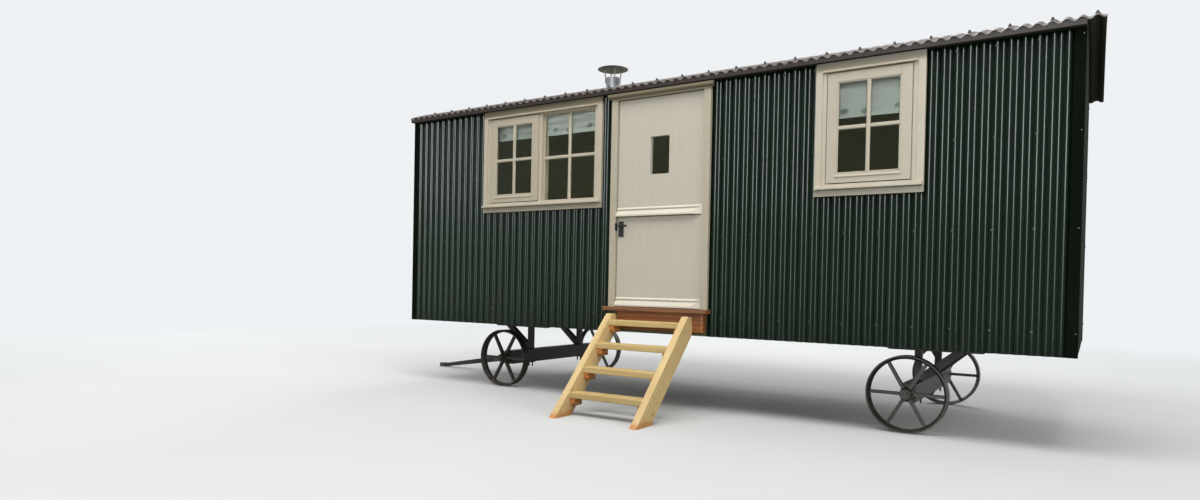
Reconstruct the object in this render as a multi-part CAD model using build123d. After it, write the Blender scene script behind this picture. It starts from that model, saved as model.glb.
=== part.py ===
from build123d import *
import math
import os

# A shepherd's hut on four iron wheels: corrugated walls over a timber frame, a
# barrel roof of corrugated sheet, a stable door with steps, and two windows.
# Millimetres. X runs along the front wall from its left corner, Y into the hut
# from the front crest plane, Z up from the ground. At the end every piece moves
# so that the origin is below the middle of the whole hut.

# Body
body_length = 5660
body_depth = 2190
skirt_bottom = 605
floor_top = 810
eave_height = 2610
eave_slope = 22.5
eave_overhang = 60
left_verge = 12
right_verge = 103

# Corrugated sheet
pitch = 76.2
wave_depth = 18
sheet = 1.5
crest_share = 0.28
left_crest = 60
right_crest = 3362
roof_crest = 72.2
end_crest = 95

# Timber
wall = 90
deck = 22
fascia_width = 52
fascia_height = 22
trim_leg = 60
trim_sheet = 2
joist_width = 45
joist_count = 10
seat_gap = 0.3
roof_clearance = 4
sheet_end = 1

# Windows: the outer left edge of each casing
left_window_x = 955
right_window_x = 4066
window_sill_z = 1636
window_head_z = 2566
casing_width = 75
casing_proud = 30
casing_lap = 25
casing_bottom = 45
casing_top = 70
sash_width = 558
sash_margin = 6
sash_set = 2
sash_above_sill = 45
sash_below_head = 9
sash_stile = 70
sash_rail = 64
sash_thickness = 20
mullion = 45
frame_face = 60
frame_back = 60
glass = 4
sill_proud = 58
sill_height = 24
sill_nose = 17
sill_end = 5
drip_proud = 44
drip_height = 16
drip_nose = 10
drip_end = 20
left_blind_length = 180
right_blind_length = 296
blind_thickness = 8
blind_set = 25
blind_side = 5

# Door
door_centre = 2811
door_width = 780
jamb_face = 57.5
jamb_lap = 20
door_head_z = 2508
door_split_z = 1550
door_thickness = 44
door_recess = 22
door_gap = 5
door_stop = 12
weather_height = 62
weather_proud = 34
weather_short = 34
weather_lip = 22
weather_top = 10
light_width = 170
light_height = 302
light_sill_z = 1885
knuckle_radius = 6
knuckle_length = 90
knuckle_gap = 0.5
hinge_leaf = 32
hinge_thickness = 3
hinge_above_sill = 67
hinge_below_split = 90
hinge_above_split = 110
hinge_below_head = 108
handle_inset = 38
plate_width = 48
plate_height = 125
plate_thickness = 6
plate_below_split = 37
lever_below_top = 38
lever_stand = 45
lever_reach = 75
lever_radius = 8
cornice_height = 48
cornice_proud = 58
cornice_end = 27
cornice_nose = 14
cornice_slope = 12

# Threshold and steps
threshold_height = 33
threshold_proud = 85
threshold_width = 935
board_round = 6
apron_thickness = 40
apron_height = 145
apron_left = 2455
apron_right = 3235
apron_round = 16
step_count = 4
step_rise = 176.7
step_slope = 45
step_inner_width = 634
step_centre = 2773
stringer_thickness = 55
stringer_width = 150
stringer_top = 756
stringer_round = 18
tread_thickness = 45
tread_depth = 118
tread_front = 160
cleat_width = 45
cleat_height = 55
cleat_length = 96
cleat_inset = 12
cleat_round = 30

# Running gear
axle_inset = 1000
wheel_radius = 270
wheel_width = 80
wheel_track = 1660
spoke_count = 6
hub_radius = 46
hub_length = 110
rim_depth = 26
rim_edge = 10
rim_web = 24
hub_nose = 37
spoke_root = 34
spoke_tip = 27
spoke_thickness = 22
axle_radius = 22
axle_clearance = 0.05
beam_height = 125
beam_width = 100
stub_end = 30
hub_play = 1
collar_radius = 32
collar_length = 16
clamp_length = 64
clamp_width = 70
clamp_thickness = 10
clamp_bolt = 7
clamp_bolt_length = 38
clamp_bolt_spread = 42
rail_spread = 850
rail_width = 60
rail_height = 85
bearer_height = 55
bearer_length = 720
bearer_front = 470
bearer_taper = 40
bearer_end = 22
post_size = 50
brace_run = 277
brace_toe = 30
brace_heel = 55
brace_head = 75
cross_member_count = 5
cross_member_inset = 10
drawbar_pivot_x = 915
drawbar_pivot_z = 250
drawbar_tip_x = -640
drawbar_spread = 700
leg_height = 55
leg_width = 40
leg_start_x = 150
pole_end_x = 270
pole_width = 44
pole_height = 60
pivot_radius = 8
pivot_clearance = 0.05
boss_radius = 26
boss_length = 44
lug_gap = 12
lug_thickness = 10
lug_half_height = 22
pin_end = 5
eye_radius = 45
eye_bore = 21
eye_height = 40

# Flue
flue_x = 1255
flue_y = 1700
flue_radius = 75
flue_wall = 2
flue_top = 3265
flue_clearance = 2
boot_flare = 55
boot_collar = 8
boot_height = 90
cowl_radius = 168
cowl_crown = 20
cowl_height = 26
cowl_gap = 95
strap_count = 4
strap_radius = 6
strap_lap = 60
strap_reach = 100

# Derived sizes
back_of_sheet = wave_depth + sheet
inside = back_of_sheet + wall
half_span = body_depth / 2 + eave_overhang
roof_radius = half_span / math.sin(math.radians(eave_slope))
roof_axis_y = body_depth / 2
roof_axis_z = eave_height - roof_radius * math.cos(math.radians(eave_slope))
deck_radius = roof_radius - back_of_sheet - seat_gap
ceiling_radius = deck_radius - deck
rail_top = skirt_bottom + rail_height
beam_length = wheel_track - hub_length - 2 * hub_play
fascia_top = eave_height - back_of_sheet - seat_gap * 2
fascia_bottom = fascia_top - fascia_height
threshold_top = floor_top + 3
threshold_bottom = threshold_top - threshold_height
floor_bottom = floor_top - deck
ridge_z = roof_axis_z + roof_radius
beam_top = wheel_radius + beam_height / 2
beam_bottom = wheel_radius - beam_height / 2

model = {}


def block(x0, x1, y0, y1, z0, z1):
    """A box between two corners."""
    size = (x1 - x0, y1 - y0, z1 - z0)
    centre = ((x0 + x1) / 2, (y0 + y1) / 2, (z0 + z1) / 2)
    return Pos(*centre) * Box(*size)


def prism_x(points, x0, x1):
    """A Y-Z outline carried along X."""
    outline = Plane.YZ * Polyline(*points, close=True)
    return Pos(x0, 0, 0) * extrude(make_face(outline), x1 - x0, dir=(1, 0, 0))


def prism_y(points, y0, y1):
    """An X-Z outline carried along Y."""
    outline = Plane.XZ * Polyline(*points, close=True)
    return Pos(0, y0, 0) * extrude(make_face(outline), y1 - y0, dir=(0, 1, 0))


def prism_z(points, z0, z1):
    """An X-Y outline carried along Z."""
    outline = Polyline(*points, close=True)
    return Pos(0, 0, z0) * extrude(make_face(outline), z1 - z0, dir=(0, 0, 1))


def rod(start, end, radius):
    """A round bar from point to point."""
    line = Vector(*end) - Vector(*start)
    plane = Plane(origin=start, z_dir=line)
    return extrude(plane * Circle(radius), line.length)


def vault(radius, x0, x1):
    """The round space under the roof, down to the ground."""
    cylinder = Cylinder(radius, x1 - x0, rotation=(0, 90, 0))
    return Pos((x0 + x1) / 2, roof_axis_y, roof_axis_z) * cylinder


def roof_height(y, radius):
    return roof_axis_z + math.sqrt(radius**2 - (y - roof_axis_y) ** 2)


def wave(start, end, crest, out):
    """Corners of the corrugated line between start and end, with flat crests
    and troughs; out is how far each corner stands in from the crest."""
    flat = pitch * crest_share / 2
    first = math.floor((start - crest) / pitch) - 1
    last = math.ceil((end - crest) / pitch) + 1
    corners = []
    for number in range(first, last + 1):
        top = crest + number * pitch
        low = top + pitch / 2
        corners += [(top - flat, 0), (top + flat, 0), (low - flat, out), (low + flat, out)]
    inner = [corner for corner in corners if start < corner[0] < end]

    def depth_at(place):
        for (a, da), (b, db) in zip(corners, corners[1:]):
            if a <= place <= b:
                return da + (db - da) * (place - a) / (b - a)

    return [(start, depth_at(start))] + inner + [(end, depth_at(end))]


def corrugated(start, end, crest):
    """Closed outline of a corrugated sheet: its outer line and back again."""
    line = wave(start, end, crest, wave_depth)
    return line + [(place, depth + sheet) for place, depth in reversed(line)]


# Windows
class Window:
    """Places of one window's pieces, from the left edge of its casing."""

    def __init__(self, left, lights, blind_length):
        self.left = left
        self.lights = lights
        self.blind_length = blind_length
        light = sash_width + 2 * sash_margin
        self.inner_left = left + casing_width
        self.inner_right = self.inner_left + light * lights + (lights - 1) * (mullion / 2)
        self.right = self.inner_right + casing_width
        self.hole_left = left + casing_lap
        self.hole_right = self.right - casing_lap
        self.hole_bottom = window_sill_z + casing_lap
        self.hole_top = window_head_z - casing_lap
        self.light_left = self.hole_left + frame_face
        self.light_right = self.hole_right - frame_face
        self.light_bottom = self.hole_bottom + frame_face
        self.light_top = self.hole_top - frame_face
        self.middle = (self.inner_left + self.inner_right) / 2


left_window = Window(left_window_x, 2, left_blind_length)
right_window = Window(right_window_x, 1, right_blind_length)
windows = [left_window, right_window]
inner_bottom = window_sill_z + casing_bottom
inner_top = window_head_z - casing_top
sash_bottom = inner_bottom + sash_above_sill
sash_top = inner_top - sash_below_head
sash_front = -casing_proud + sash_set
sash_back = sash_front + sash_thickness

door_left = door_centre - door_width / 2
door_right = door_centre + door_width / 2
frame_left = door_left - jamb_face
frame_right = door_right + jamb_face
wall_door_left = frame_left + jamb_lap
wall_door_right = frame_right - jamb_lap


def window_casing(window):
    """Flat casing over the sheet, with the frame behind it through the wall."""
    casing = block(window.left, window.right, -casing_proud, 0, window_sill_z, window_head_z)
    casing -= block(
        window.inner_left, window.inner_right, -casing_proud, 0, inner_bottom, inner_top
    )
    frame = block(
        window.hole_left,
        window.hole_right,
        sash_back,
        back_of_sheet + frame_back,
        window.hole_bottom,
        window.hole_top,
    )
    opening = (-casing_proud, inside, window.light_bottom, window.light_top)
    if window.lights == 2:
        frame -= block(window.light_left, window.middle - mullion / 2, *opening)
        frame -= block(window.middle + mullion / 2, window.light_right, *opening)
    else:
        frame -= block(window.light_left, window.light_right, *opening)
    return casing + frame


def window_sash(window):
    left = window.inner_left + sash_margin
    sash = block(left, left + sash_width, sash_front, sash_back, sash_bottom, sash_top)
    sash -= block(
        left + sash_stile,
        left + sash_width - sash_stile,
        sash_front,
        sash_back,
        sash_bottom + sash_rail,
        sash_top - sash_rail,
    )
    return sash


def window_panes(window):
    left = window.inner_left + sash_margin
    front = (sash_front + sash_back) / 2
    panes = block(
        left + sash_stile,
        left + sash_width - sash_stile,
        front,
        front + glass,
        sash_bottom + sash_rail,
        sash_top - sash_rail,
    )
    if window.lights == 2:
        panes = [panes]
        panes.append(
            block(
                window.middle + mullion / 2,
                window.light_right,
                wave_depth,
                wave_depth + glass,
                window.light_bottom,
                window.light_top,
            )
        )
        return panes
    return [panes]


def window_blind(window):
    places = [(window.light_left, window.light_right)]
    if window.lights == 2:
        places = [
            (window.light_left, window.middle - mullion / 2),
            (window.middle + mullion / 2, window.light_right),
        ]
    top = window.light_top
    front = back_of_sheet + blind_set
    back = front + blind_thickness
    hem = top - window.blind_length
    return [
        block(a + blind_side, b - blind_side, front, back, hem, top)
        for a, b in places
    ]


def window_trim(window):
    """The sloping sill below the lights and the drip over them."""
    sill = prism_x(
        [
            (-casing_proud, inner_bottom),
            (-sill_proud, inner_bottom),
            (-sill_proud, inner_bottom + sill_nose),
            (-casing_proud, inner_bottom + sill_height),
        ],
        window.left + sill_end,
        window.right - sill_end,
    )
    drip = prism_x(
        [
            (-casing_proud, inner_top),
            (-drip_proud, inner_top),
            (-drip_proud, inner_top + drip_nose),
            (-casing_proud, inner_top + drip_height),
        ],
        window.inner_left - drip_end,
        window.inner_right + drip_end,
    )
    return [sill, drip]


def build_windows():
    model["window_casings"] = [window_casing(window) for window in windows]
    model["window_sashes"] = [window_sash(window) for window in windows]
    model["window_glass"] = [pane for window in windows for pane in window_panes(window)]
    model["window_blinds"] = [blind for window in windows for blind in window_blind(window)]
    model["window_sills"] = [window_trim(window)[0] for window in windows]
    model["window_drips"] = [window_trim(window)[1] for window in windows]


# Walls
def build_walls():
    top = ridge_z
    x0, x1 = back_of_sheet, body_length - back_of_sheet
    y0, y1 = back_of_sheet, inside
    under_roof = vault(ceiling_radius - seat_gap, 0, body_length)
    edges = [x0, left_window.hole_left, left_window.hole_right, wall_door_left]
    edges += [wall_door_right, right_window.hole_left, right_window.hole_right, x1]
    piers = [
        block(a, b, y0, y1, skirt_bottom, top) & under_roof
        for a, b in zip(edges[0::2], edges[1::2])
    ]
    model["front_wall_piers"] = piers
    infills = []
    for window in windows:
        span = (window.hole_left, window.hole_right, y0, y1)
        infills.append(block(*span, skirt_bottom, window.hole_bottom))
        infills.append(block(*span, window.hole_top, top) & under_roof)
    lintel = block(wall_door_left, wall_door_right, y0, y1, door_head_z + jamb_face, top)
    infills.append(lintel & under_roof)
    infills.append(block(wall_door_left, wall_door_right, y0, y1, skirt_bottom, threshold_bottom))
    model["front_wall_infills"] = infills
    rear = block(x0, x1, body_depth - inside, body_depth - back_of_sheet, skirt_bottom, top)
    model["rear_wall"] = [rear & under_roof]
    ends = []
    for a in (x0, x1 - wall):
        end = block(a, a + wall, inside, body_depth - inside, skirt_bottom, top)
        ends.append(end & under_roof)
    model["end_walls"] = ends


# Corrugated cladding
def build_cladding():
    top = roof_height(0, roof_radius - back_of_sheet) - roof_clearance
    start = back_of_sheet + sheet_end
    end = body_length - start
    left = prism_z(corrugated(start, wall_door_left, left_crest), skirt_bottom, top)
    right = prism_z(corrugated(wall_door_right, end, right_crest), skirt_bottom, top)
    sheets = []
    for panel, window in ((left, left_window), (right, right_window)):
        hole = block(
            window.hole_left,
            window.hole_right,
            -sheet_end,
            back_of_sheet + sheet_end,
            window.hole_bottom,
            window.hole_top,
        )
        sheets.append(panel - hole)
    model["front_cladding"] = sheets
    rear_line = [(x, body_depth - y) for x, y in corrugated(start, end, left_crest)]
    model["rear_cladding"] = [prism_z(rear_line, skirt_bottom, top)]
    under_roof = vault(
        roof_radius - back_of_sheet - roof_clearance, -wave_depth, body_length + wave_depth
    )
    line = corrugated(start, body_depth - start, end_crest)
    left_end = prism_z([(depth, place) for place, depth in line], skirt_bottom, ridge_z)
    right_line = [(body_length - depth, place) for place, depth in line]
    right_end = prism_z(right_line, skirt_bottom, ridge_z)
    model["end_cladding"] = [left_end & under_roof, right_end & under_roof]
    trims = []
    for x, sx in ((0, 1), (body_length, -1)):
        for y, sy in ((0, 1), (body_depth, -1)):
            t = trim_sheet
            leg = trim_leg
            points = [(-t, -t), (leg, -t), (leg, 0), (0, 0), (0, leg), (-t, leg)]
            outline = [(x + sx * a, y + sy * b) for a, b in points]
            trims.append(prism_z(outline, skirt_bottom, fascia_bottom))
    model["corner_trims"] = trims


# Roof
def build_roof():
    x0, x1 = -left_verge, body_length + right_verge
    line = wave(x0, x1, roof_crest, wave_depth)
    outer = [(x, roof_radius - depth) for x, depth in line]
    inner = [(x, radius - sheet) for x, radius in reversed(outer)]
    profile = make_face(Plane.XZ * Polyline(*(outer + inner), close=True))
    bent = revolve(profile, axis=Axis.X, revolution_arc=2 * eave_slope)
    sheeting = Pos(0, roof_axis_y, roof_axis_z) * Rot(-eave_slope, 0, 0) * bent
    flue_hole = Pos(flue_x, flue_y, ridge_z) * Cylinder(flue_radius + flue_clearance, body_depth)
    model["roof_sheet"] = [sheeting - flue_hole]
    x0, x1 = back_of_sheet, body_length - back_of_sheet
    shell = vault(deck_radius, x0, x1) - vault(ceiling_radius, 0, body_length)
    above = block(x0, x1, back_of_sheet, body_depth - back_of_sheet, floor_top, 2 * eave_height)
    model["roof_deck"] = [(shell & above) - flue_hole]
    front = [(-fascia_width, fascia_bottom), (0, fascia_bottom), (0, fascia_top)]
    front += [(-fascia_width, fascia_top)]
    back = [(body_depth - y, z) for y, z in front]
    model["eaves_fascias"] = [prism_x(front, 0, body_length), prism_x(back, 0, body_length)]


def build_flue():
    base = roof_height(flue_y, ceiling_radius)
    lift = Pos(flue_x, flue_y, base)
    foot = (Align.CENTER, Align.CENTER, Align.MIN)
    pipe = lift * Cylinder(flue_radius, flue_top - base, align=foot)
    pipe -= lift * Cylinder(flue_radius - flue_wall, flue_top - base, align=foot)
    model["flue_pipe"] = [pipe]
    under = flue_top + cowl_gap
    cowl = Pos(flue_x, flue_y, under) * Cone(cowl_radius, cowl_crown, cowl_height, align=foot)
    low = flue_radius + strap_radius + seat_gap
    for number in range(strap_count):
        angle = math.radians(360 / strap_count * (number + 0.5))
        c, s = math.cos(angle), math.sin(angle)
        start = (flue_x + low * c, flue_y + low * s, flue_top - strap_lap)
        bend = (flue_x + low * c, flue_y + low * s, flue_top)
        end = (flue_x + strap_reach * c, flue_y + strap_reach * s, under + strap_radius / 2)
        cowl += rod(start, bend, strap_radius) + rod(bend, end, strap_radius)
    model["flue_cowl"] = [cowl]
    seat = Pos(flue_x, flue_y, roof_height(flue_y, roof_radius))
    boot = seat * Cone(flue_radius + boot_flare, flue_radius + boot_collar, boot_height)
    boot -= seat * Cylinder(flue_radius + seat_gap, 2 * boot_height)
    boot -= vault(roof_radius + seat_gap, 0, body_length)
    model["flue_boot"] = [boot]


# Door
def build_door():
    front = -casing_proud
    leaf_front = front + door_recess
    leaf_back = leaf_front + door_thickness
    stop = leaf_back + door_gap
    axis_x = door_right - door_gap / 2
    axis_y = leaf_front - knuckle_radius
    sill_z = threshold_top
    starts = [
        sill_z + hinge_above_sill,
        door_split_z - hinge_below_split - knuckle_length,
        door_split_z + hinge_above_split,
        door_head_z - hinge_below_head - knuckle_length,
    ]
    knuckles = [(z, z + knuckle_length) for z in starts]

    def jamb(side):
        x = door_left if side < 0 else door_right
        points = [
            (x, front),
            (x + side * jamb_face, front),
            (x + side * jamb_face, 0),
            (x + side * (jamb_face - jamb_lap), 0),
            (x + side * (jamb_face - jamb_lap), inside),
            (x - side * door_stop, inside),
            (x - side * door_stop, stop),
            (x, stop),
        ]
        return prism_z(points, sill_z, door_head_z)

    left, right = jamb(-1), jamb(1)
    for low, high in knuckles:
        housing = rod(
            (axis_x, axis_y, low - knuckle_gap),
            (axis_x, axis_y, high + knuckle_gap),
            knuckle_radius + knuckle_gap,
        )
        right -= housing
    model["door_jambs"] = [left, right]
    head_top = door_head_z + jamb_face
    head = block(wall_door_left, wall_door_right, 0, inside, door_head_z, head_top)
    head += block(
        door_left + door_stop,
        door_right - door_stop,
        stop,
        inside,
        door_head_z - door_stop,
        door_head_z,
    )
    ears = block(frame_left, frame_right, front, 0, door_head_z, head_top)
    cornice = prism_x(
        [
            (front, head_top - cornice_height),
            (-cornice_proud, head_top - cornice_height + cornice_nose),
            (-cornice_proud, head_top - cornice_slope),
            (front, head_top),
        ],
        frame_left - cornice_end,
        frame_right + cornice_end,
    )
    model["door_head"] = [head + ears + cornice]

    leaf_left = door_left + door_gap
    leaf_right = door_right - door_gap

    def weatherboard(z):
        return prism_x(
            [
                (leaf_front, z),
                (leaf_front - weather_proud, z),
                (leaf_front - weather_proud, z + weather_lip),
                (leaf_front - weather_top, z + weather_height),
                (leaf_front, z + weather_height),
            ],
            leaf_left,
            leaf_right - weather_short,
        )

    def leaf(z0, z1, hinges):
        shape = block(leaf_left, leaf_right, leaf_front, leaf_back, z0, z1)
        shape += weatherboard(z0)
        for low, high in hinges:
            shape += rod((axis_x, axis_y, low), (axis_x, axis_y, high), knuckle_radius)
            shape += block(
                leaf_right - hinge_leaf, axis_x, leaf_front - hinge_thickness, leaf_front, low, high
            )
        return shape

    upper = leaf(door_split_z + door_gap / 2, door_head_z - door_gap, knuckles[2:])
    light_x = door_centre - light_width / 2
    window = (light_x, light_x + light_width, light_sill_z, light_sill_z + light_height)
    upper -= block(window[0], window[1], leaf_front, leaf_back, window[2], window[3])
    model["upper_door"] = [upper]
    glass_y = (leaf_front + leaf_back) / 2
    model["door_glass"] = [
        block(window[0], window[1], glass_y, glass_y + glass, window[2], window[3])
    ]
    lower = leaf(sill_z + door_gap, door_split_z - door_gap / 2, knuckles[:2])
    model["lower_door"] = [lower]
    x = leaf_left + handle_inset
    plate_top = door_split_z - plate_below_split
    plate_front = leaf_front - plate_thickness
    handle = block(
        x - plate_width / 2,
        x + plate_width / 2,
        plate_front,
        leaf_front,
        plate_top - plate_height,
        plate_top,
    )
    lever_z = plate_top - lever_below_top
    elbow = (x, leaf_front - lever_stand, lever_z)
    handle += rod((x, plate_front, lever_z), elbow, lever_radius)
    handle += rod(elbow, (x + lever_reach, elbow[1], lever_z), lever_radius)
    handle += Pos(*elbow) * Sphere(lever_radius)
    model["door_handle"] = [handle]


def build_threshold():
    half = threshold_width / 2
    top = threshold_top
    board = block(
        door_centre - half, door_centre + half, -threshold_proud, 0, threshold_bottom, top
    )
    nose = board.edges().filter_by(Axis.X).group_by(Axis.Y)[0]
    board = fillet(nose, board_round)
    board += block(wall_door_left, wall_door_right, 0, inside, threshold_bottom, top)
    model["threshold"] = [board]
    apron = block(
        apron_left,
        apron_right,
        -apron_thickness,
        back_of_sheet,
        threshold_bottom - apron_height,
        threshold_bottom,
    )
    corners = apron.edges().filter_by(Axis.Z).group_by(Axis.Y)[0]
    model["apron"] = [fillet(corners, apron_round)]


def build_steps():
    slope = math.radians(step_slope)
    tread_z = [step_rise * (number + 1) for number in range(step_count)]

    def front_line(z):
        return -tread_front - (tread_z[-1] - z) / math.tan(slope)

    toe = front_line(0)
    heel = toe + stringer_width / math.sin(slope)
    plumb = -apron_thickness
    points = [
        (toe, 0),
        (heel, 0),
        (plumb, (plumb - heel) * math.tan(slope)),
        (plumb, stringer_top),
        (front_line(stringer_top), stringer_top),
    ]
    inner_left = step_centre - step_inner_width / 2
    inner_right = step_centre + step_inner_width / 2
    stringers = []
    for x in (inner_left - stringer_thickness, inner_right):
        board = prism_x(points, x, x + stringer_thickness)
        upper_corners = board.edges().filter_by(Axis.X).group_by(Axis.Z)[-1]
        stringers.append(fillet(upper_corners, stringer_round))
    model["step_stringers"] = stringers
    treads = []
    cleats = []
    for z in tread_z:
        y = front_line(z)
        under = z - tread_thickness
        tread = block(inner_left, inner_right, y, y + tread_depth, under, z)
        nosing = tread.edges().filter_by(Axis.X).group_by(Axis.Y)[0]
        treads.append(fillet(nosing, board_round))
        start = y + cleat_inset
        for x in (inner_left, inner_right - cleat_width):
            cleat = block(
                x, x + cleat_width, start, start + cleat_length, under - cleat_height, under
            )
            toe_edge = cleat.edges().filter_by(Axis.X).group_by(Axis.Z)[0].sort_by(Axis.Y)[0]
            cleats.append(fillet(toe_edge, cleat_round))
    model["step_treads"] = treads
    model["step_cleats"] = cleats


# Running gear
def build_chassis():
    rails = []
    for side in (-1, 1):
        y = roof_axis_y + side * rail_spread / 2
        half = rail_width / 2
        rails.append(
            block(inside, body_length - inside, y - half, y + half, skirt_bottom, rail_top)
        )
    model["chassis_rails"] = rails
    joists = []
    room = body_length - 2 * inside
    for number in range(joist_count):
        x = inside + (room - joist_width) * number / (joist_count - 1)
        joists.append(
            block(x, x + joist_width, inside, body_depth - inside, rail_top, floor_bottom)
        )
    model["floor_joists"] = joists
    members = []
    y0 = roof_axis_y - rail_spread / 2 + rail_width / 2
    y1 = roof_axis_y + rail_spread / 2 - rail_width / 2
    for number in range(cross_member_count):
        x = inside + (room - rail_width) * number / (cross_member_count - 1)
        low = skirt_bottom + cross_member_inset
        high = rail_top - cross_member_inset
        members.append(block(x, x + rail_width, y0, y1, low, high))
    model["chassis_cross_members"] = members
    model["floor"] = [
        block(inside, body_length - inside, inside, body_depth - inside, floor_bottom, floor_top)
    ]


def axle_stand(x, front, y):
    """Bearer under the rail, upright post and raking brace, as one weldment.
    front is the side the brace leans to, -1 towards the drawbar."""
    half = post_size / 2
    bearer_bottom = skirt_bottom - bearer_height
    shoulder = skirt_bottom - bearer_end
    far = x + front * bearer_front
    near = far - front * bearer_length
    bearer = prism_y(
        [
            (far, skirt_bottom),
            (near, skirt_bottom),
            (near, shoulder),
            (near + front * bearer_taper, bearer_bottom),
            (far - front * bearer_taper, bearer_bottom),
            (far, shoulder),
        ],
        y - half,
        y + half,
    )
    post = block(x - half, x + half, y - half, y + half, beam_top, bearer_bottom)
    foot = x + front * half
    head = foot + front * brace_run
    brace = prism_y(
        [
            (foot, beam_top),
            (foot + front * brace_toe, beam_top),
            (head, bearer_bottom),
            (head - front * brace_head, bearer_bottom),
            (foot, beam_top + brace_heel),
        ],
        y - half,
        y + half,
    )
    return bearer + post + brace


def axle_clamp(x, y):
    """Plate under the beam with the two bolt ends that hold a stand down."""
    half_x = clamp_length / 2
    half_y = clamp_width / 2
    low = beam_bottom - clamp_thickness
    clamp = block(x - half_x, x + half_x, y - half_y, y + half_y, low, beam_bottom)
    for side in (-1, 1):
        place = x + side * clamp_bolt_spread / 2
        clamp += rod((place, y, low - clamp_bolt_length), (place, y, beam_bottom), clamp_bolt)
    return clamp


def wheel(x, side):
    """Cast wheel; side is -1 on the front wall's side of the hut."""
    y = roof_axis_y + side * wheel_track / 2
    half = wheel_width / 2
    web = rim_web / 2
    rim_profile = Polyline(
        (wheel_radius, -half),
        (wheel_radius, half),
        (wheel_radius - rim_edge, half),
        (wheel_radius - rim_depth, web),
        (wheel_radius - rim_depth, -web),
        (wheel_radius - rim_edge, -half),
        close=True,
    )
    rim = revolve(make_face(Plane.XZ * rim_profile), axis=Axis.Z)
    bore = axle_radius + axle_clearance
    hub_profile = Polyline(
        (bore, -hub_length / 2),
        (hub_nose, -hub_length / 2),
        (hub_radius, -spoke_thickness),
        (hub_radius, spoke_thickness),
        (hub_nose, hub_length / 2),
        (bore, hub_length / 2),
        close=True,
    )
    casting = rim + revolve(make_face(Plane.XZ * hub_profile), axis=Axis.Z)
    start = Plane(origin=((bore + hub_radius) / 2, 0, 0), z_dir=(1, 0, 0))
    end = Plane(origin=(wheel_radius - (rim_edge + rim_depth) / 2, 0, 0), z_dir=(1, 0, 0))
    spoke = loft(
        [start * Rectangle(spoke_root, spoke_thickness), end * Rectangle(spoke_tip, spoke_thickness)]
    )
    for number in range(spoke_count):
        casting += Rot(0, 0, 360 / spoke_count * number) * spoke
    return Pos(x, y, wheel_radius) * Rot(90, 0, 0) * casting


def build_running_gear():
    axle_places = {"front": axle_inset, "rear": body_length - axle_inset}
    hub_face = wheel_track / 2 + hub_length / 2
    stands = []
    clamps = []
    axles = []
    collars = []
    for name, x in axle_places.items():
        lean = -1 if name == "front" else 1
        half_x = beam_width / 2
        half_y = beam_length / 2
        beam = block(
            x - half_x, x + half_x, roof_axis_y - half_y, roof_axis_y + half_y, beam_bottom, beam_top
        )
        stub = hub_face + stub_end
        beam += rod(
            (x, roof_axis_y - stub, wheel_radius), (x, roof_axis_y + stub, wheel_radius), axle_radius
        )
        axles.append(beam)
        for side, place in ((-1, "near"), (1, "far")):
            y = roof_axis_y + side * rail_spread / 2
            stands.append(axle_stand(x, lean, y))
            clamps.append(axle_clamp(x, y))
            face = roof_axis_y + side * (hub_face + hub_play)
            start = (x, face, wheel_radius)
            end = (x, face + side * collar_length, wheel_radius)
            collar = rod(start, end, collar_radius)
            collar -= rod(start, end, axle_radius + axle_clearance)
            collars.append(collar)
            model["wheel_" + name + "_" + place] = [wheel(x, side)]
    model["axle_stands"] = stands
    model["axle_clamps"] = clamps
    model["axles"] = axles
    model["axle_collars"] = collars


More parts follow.
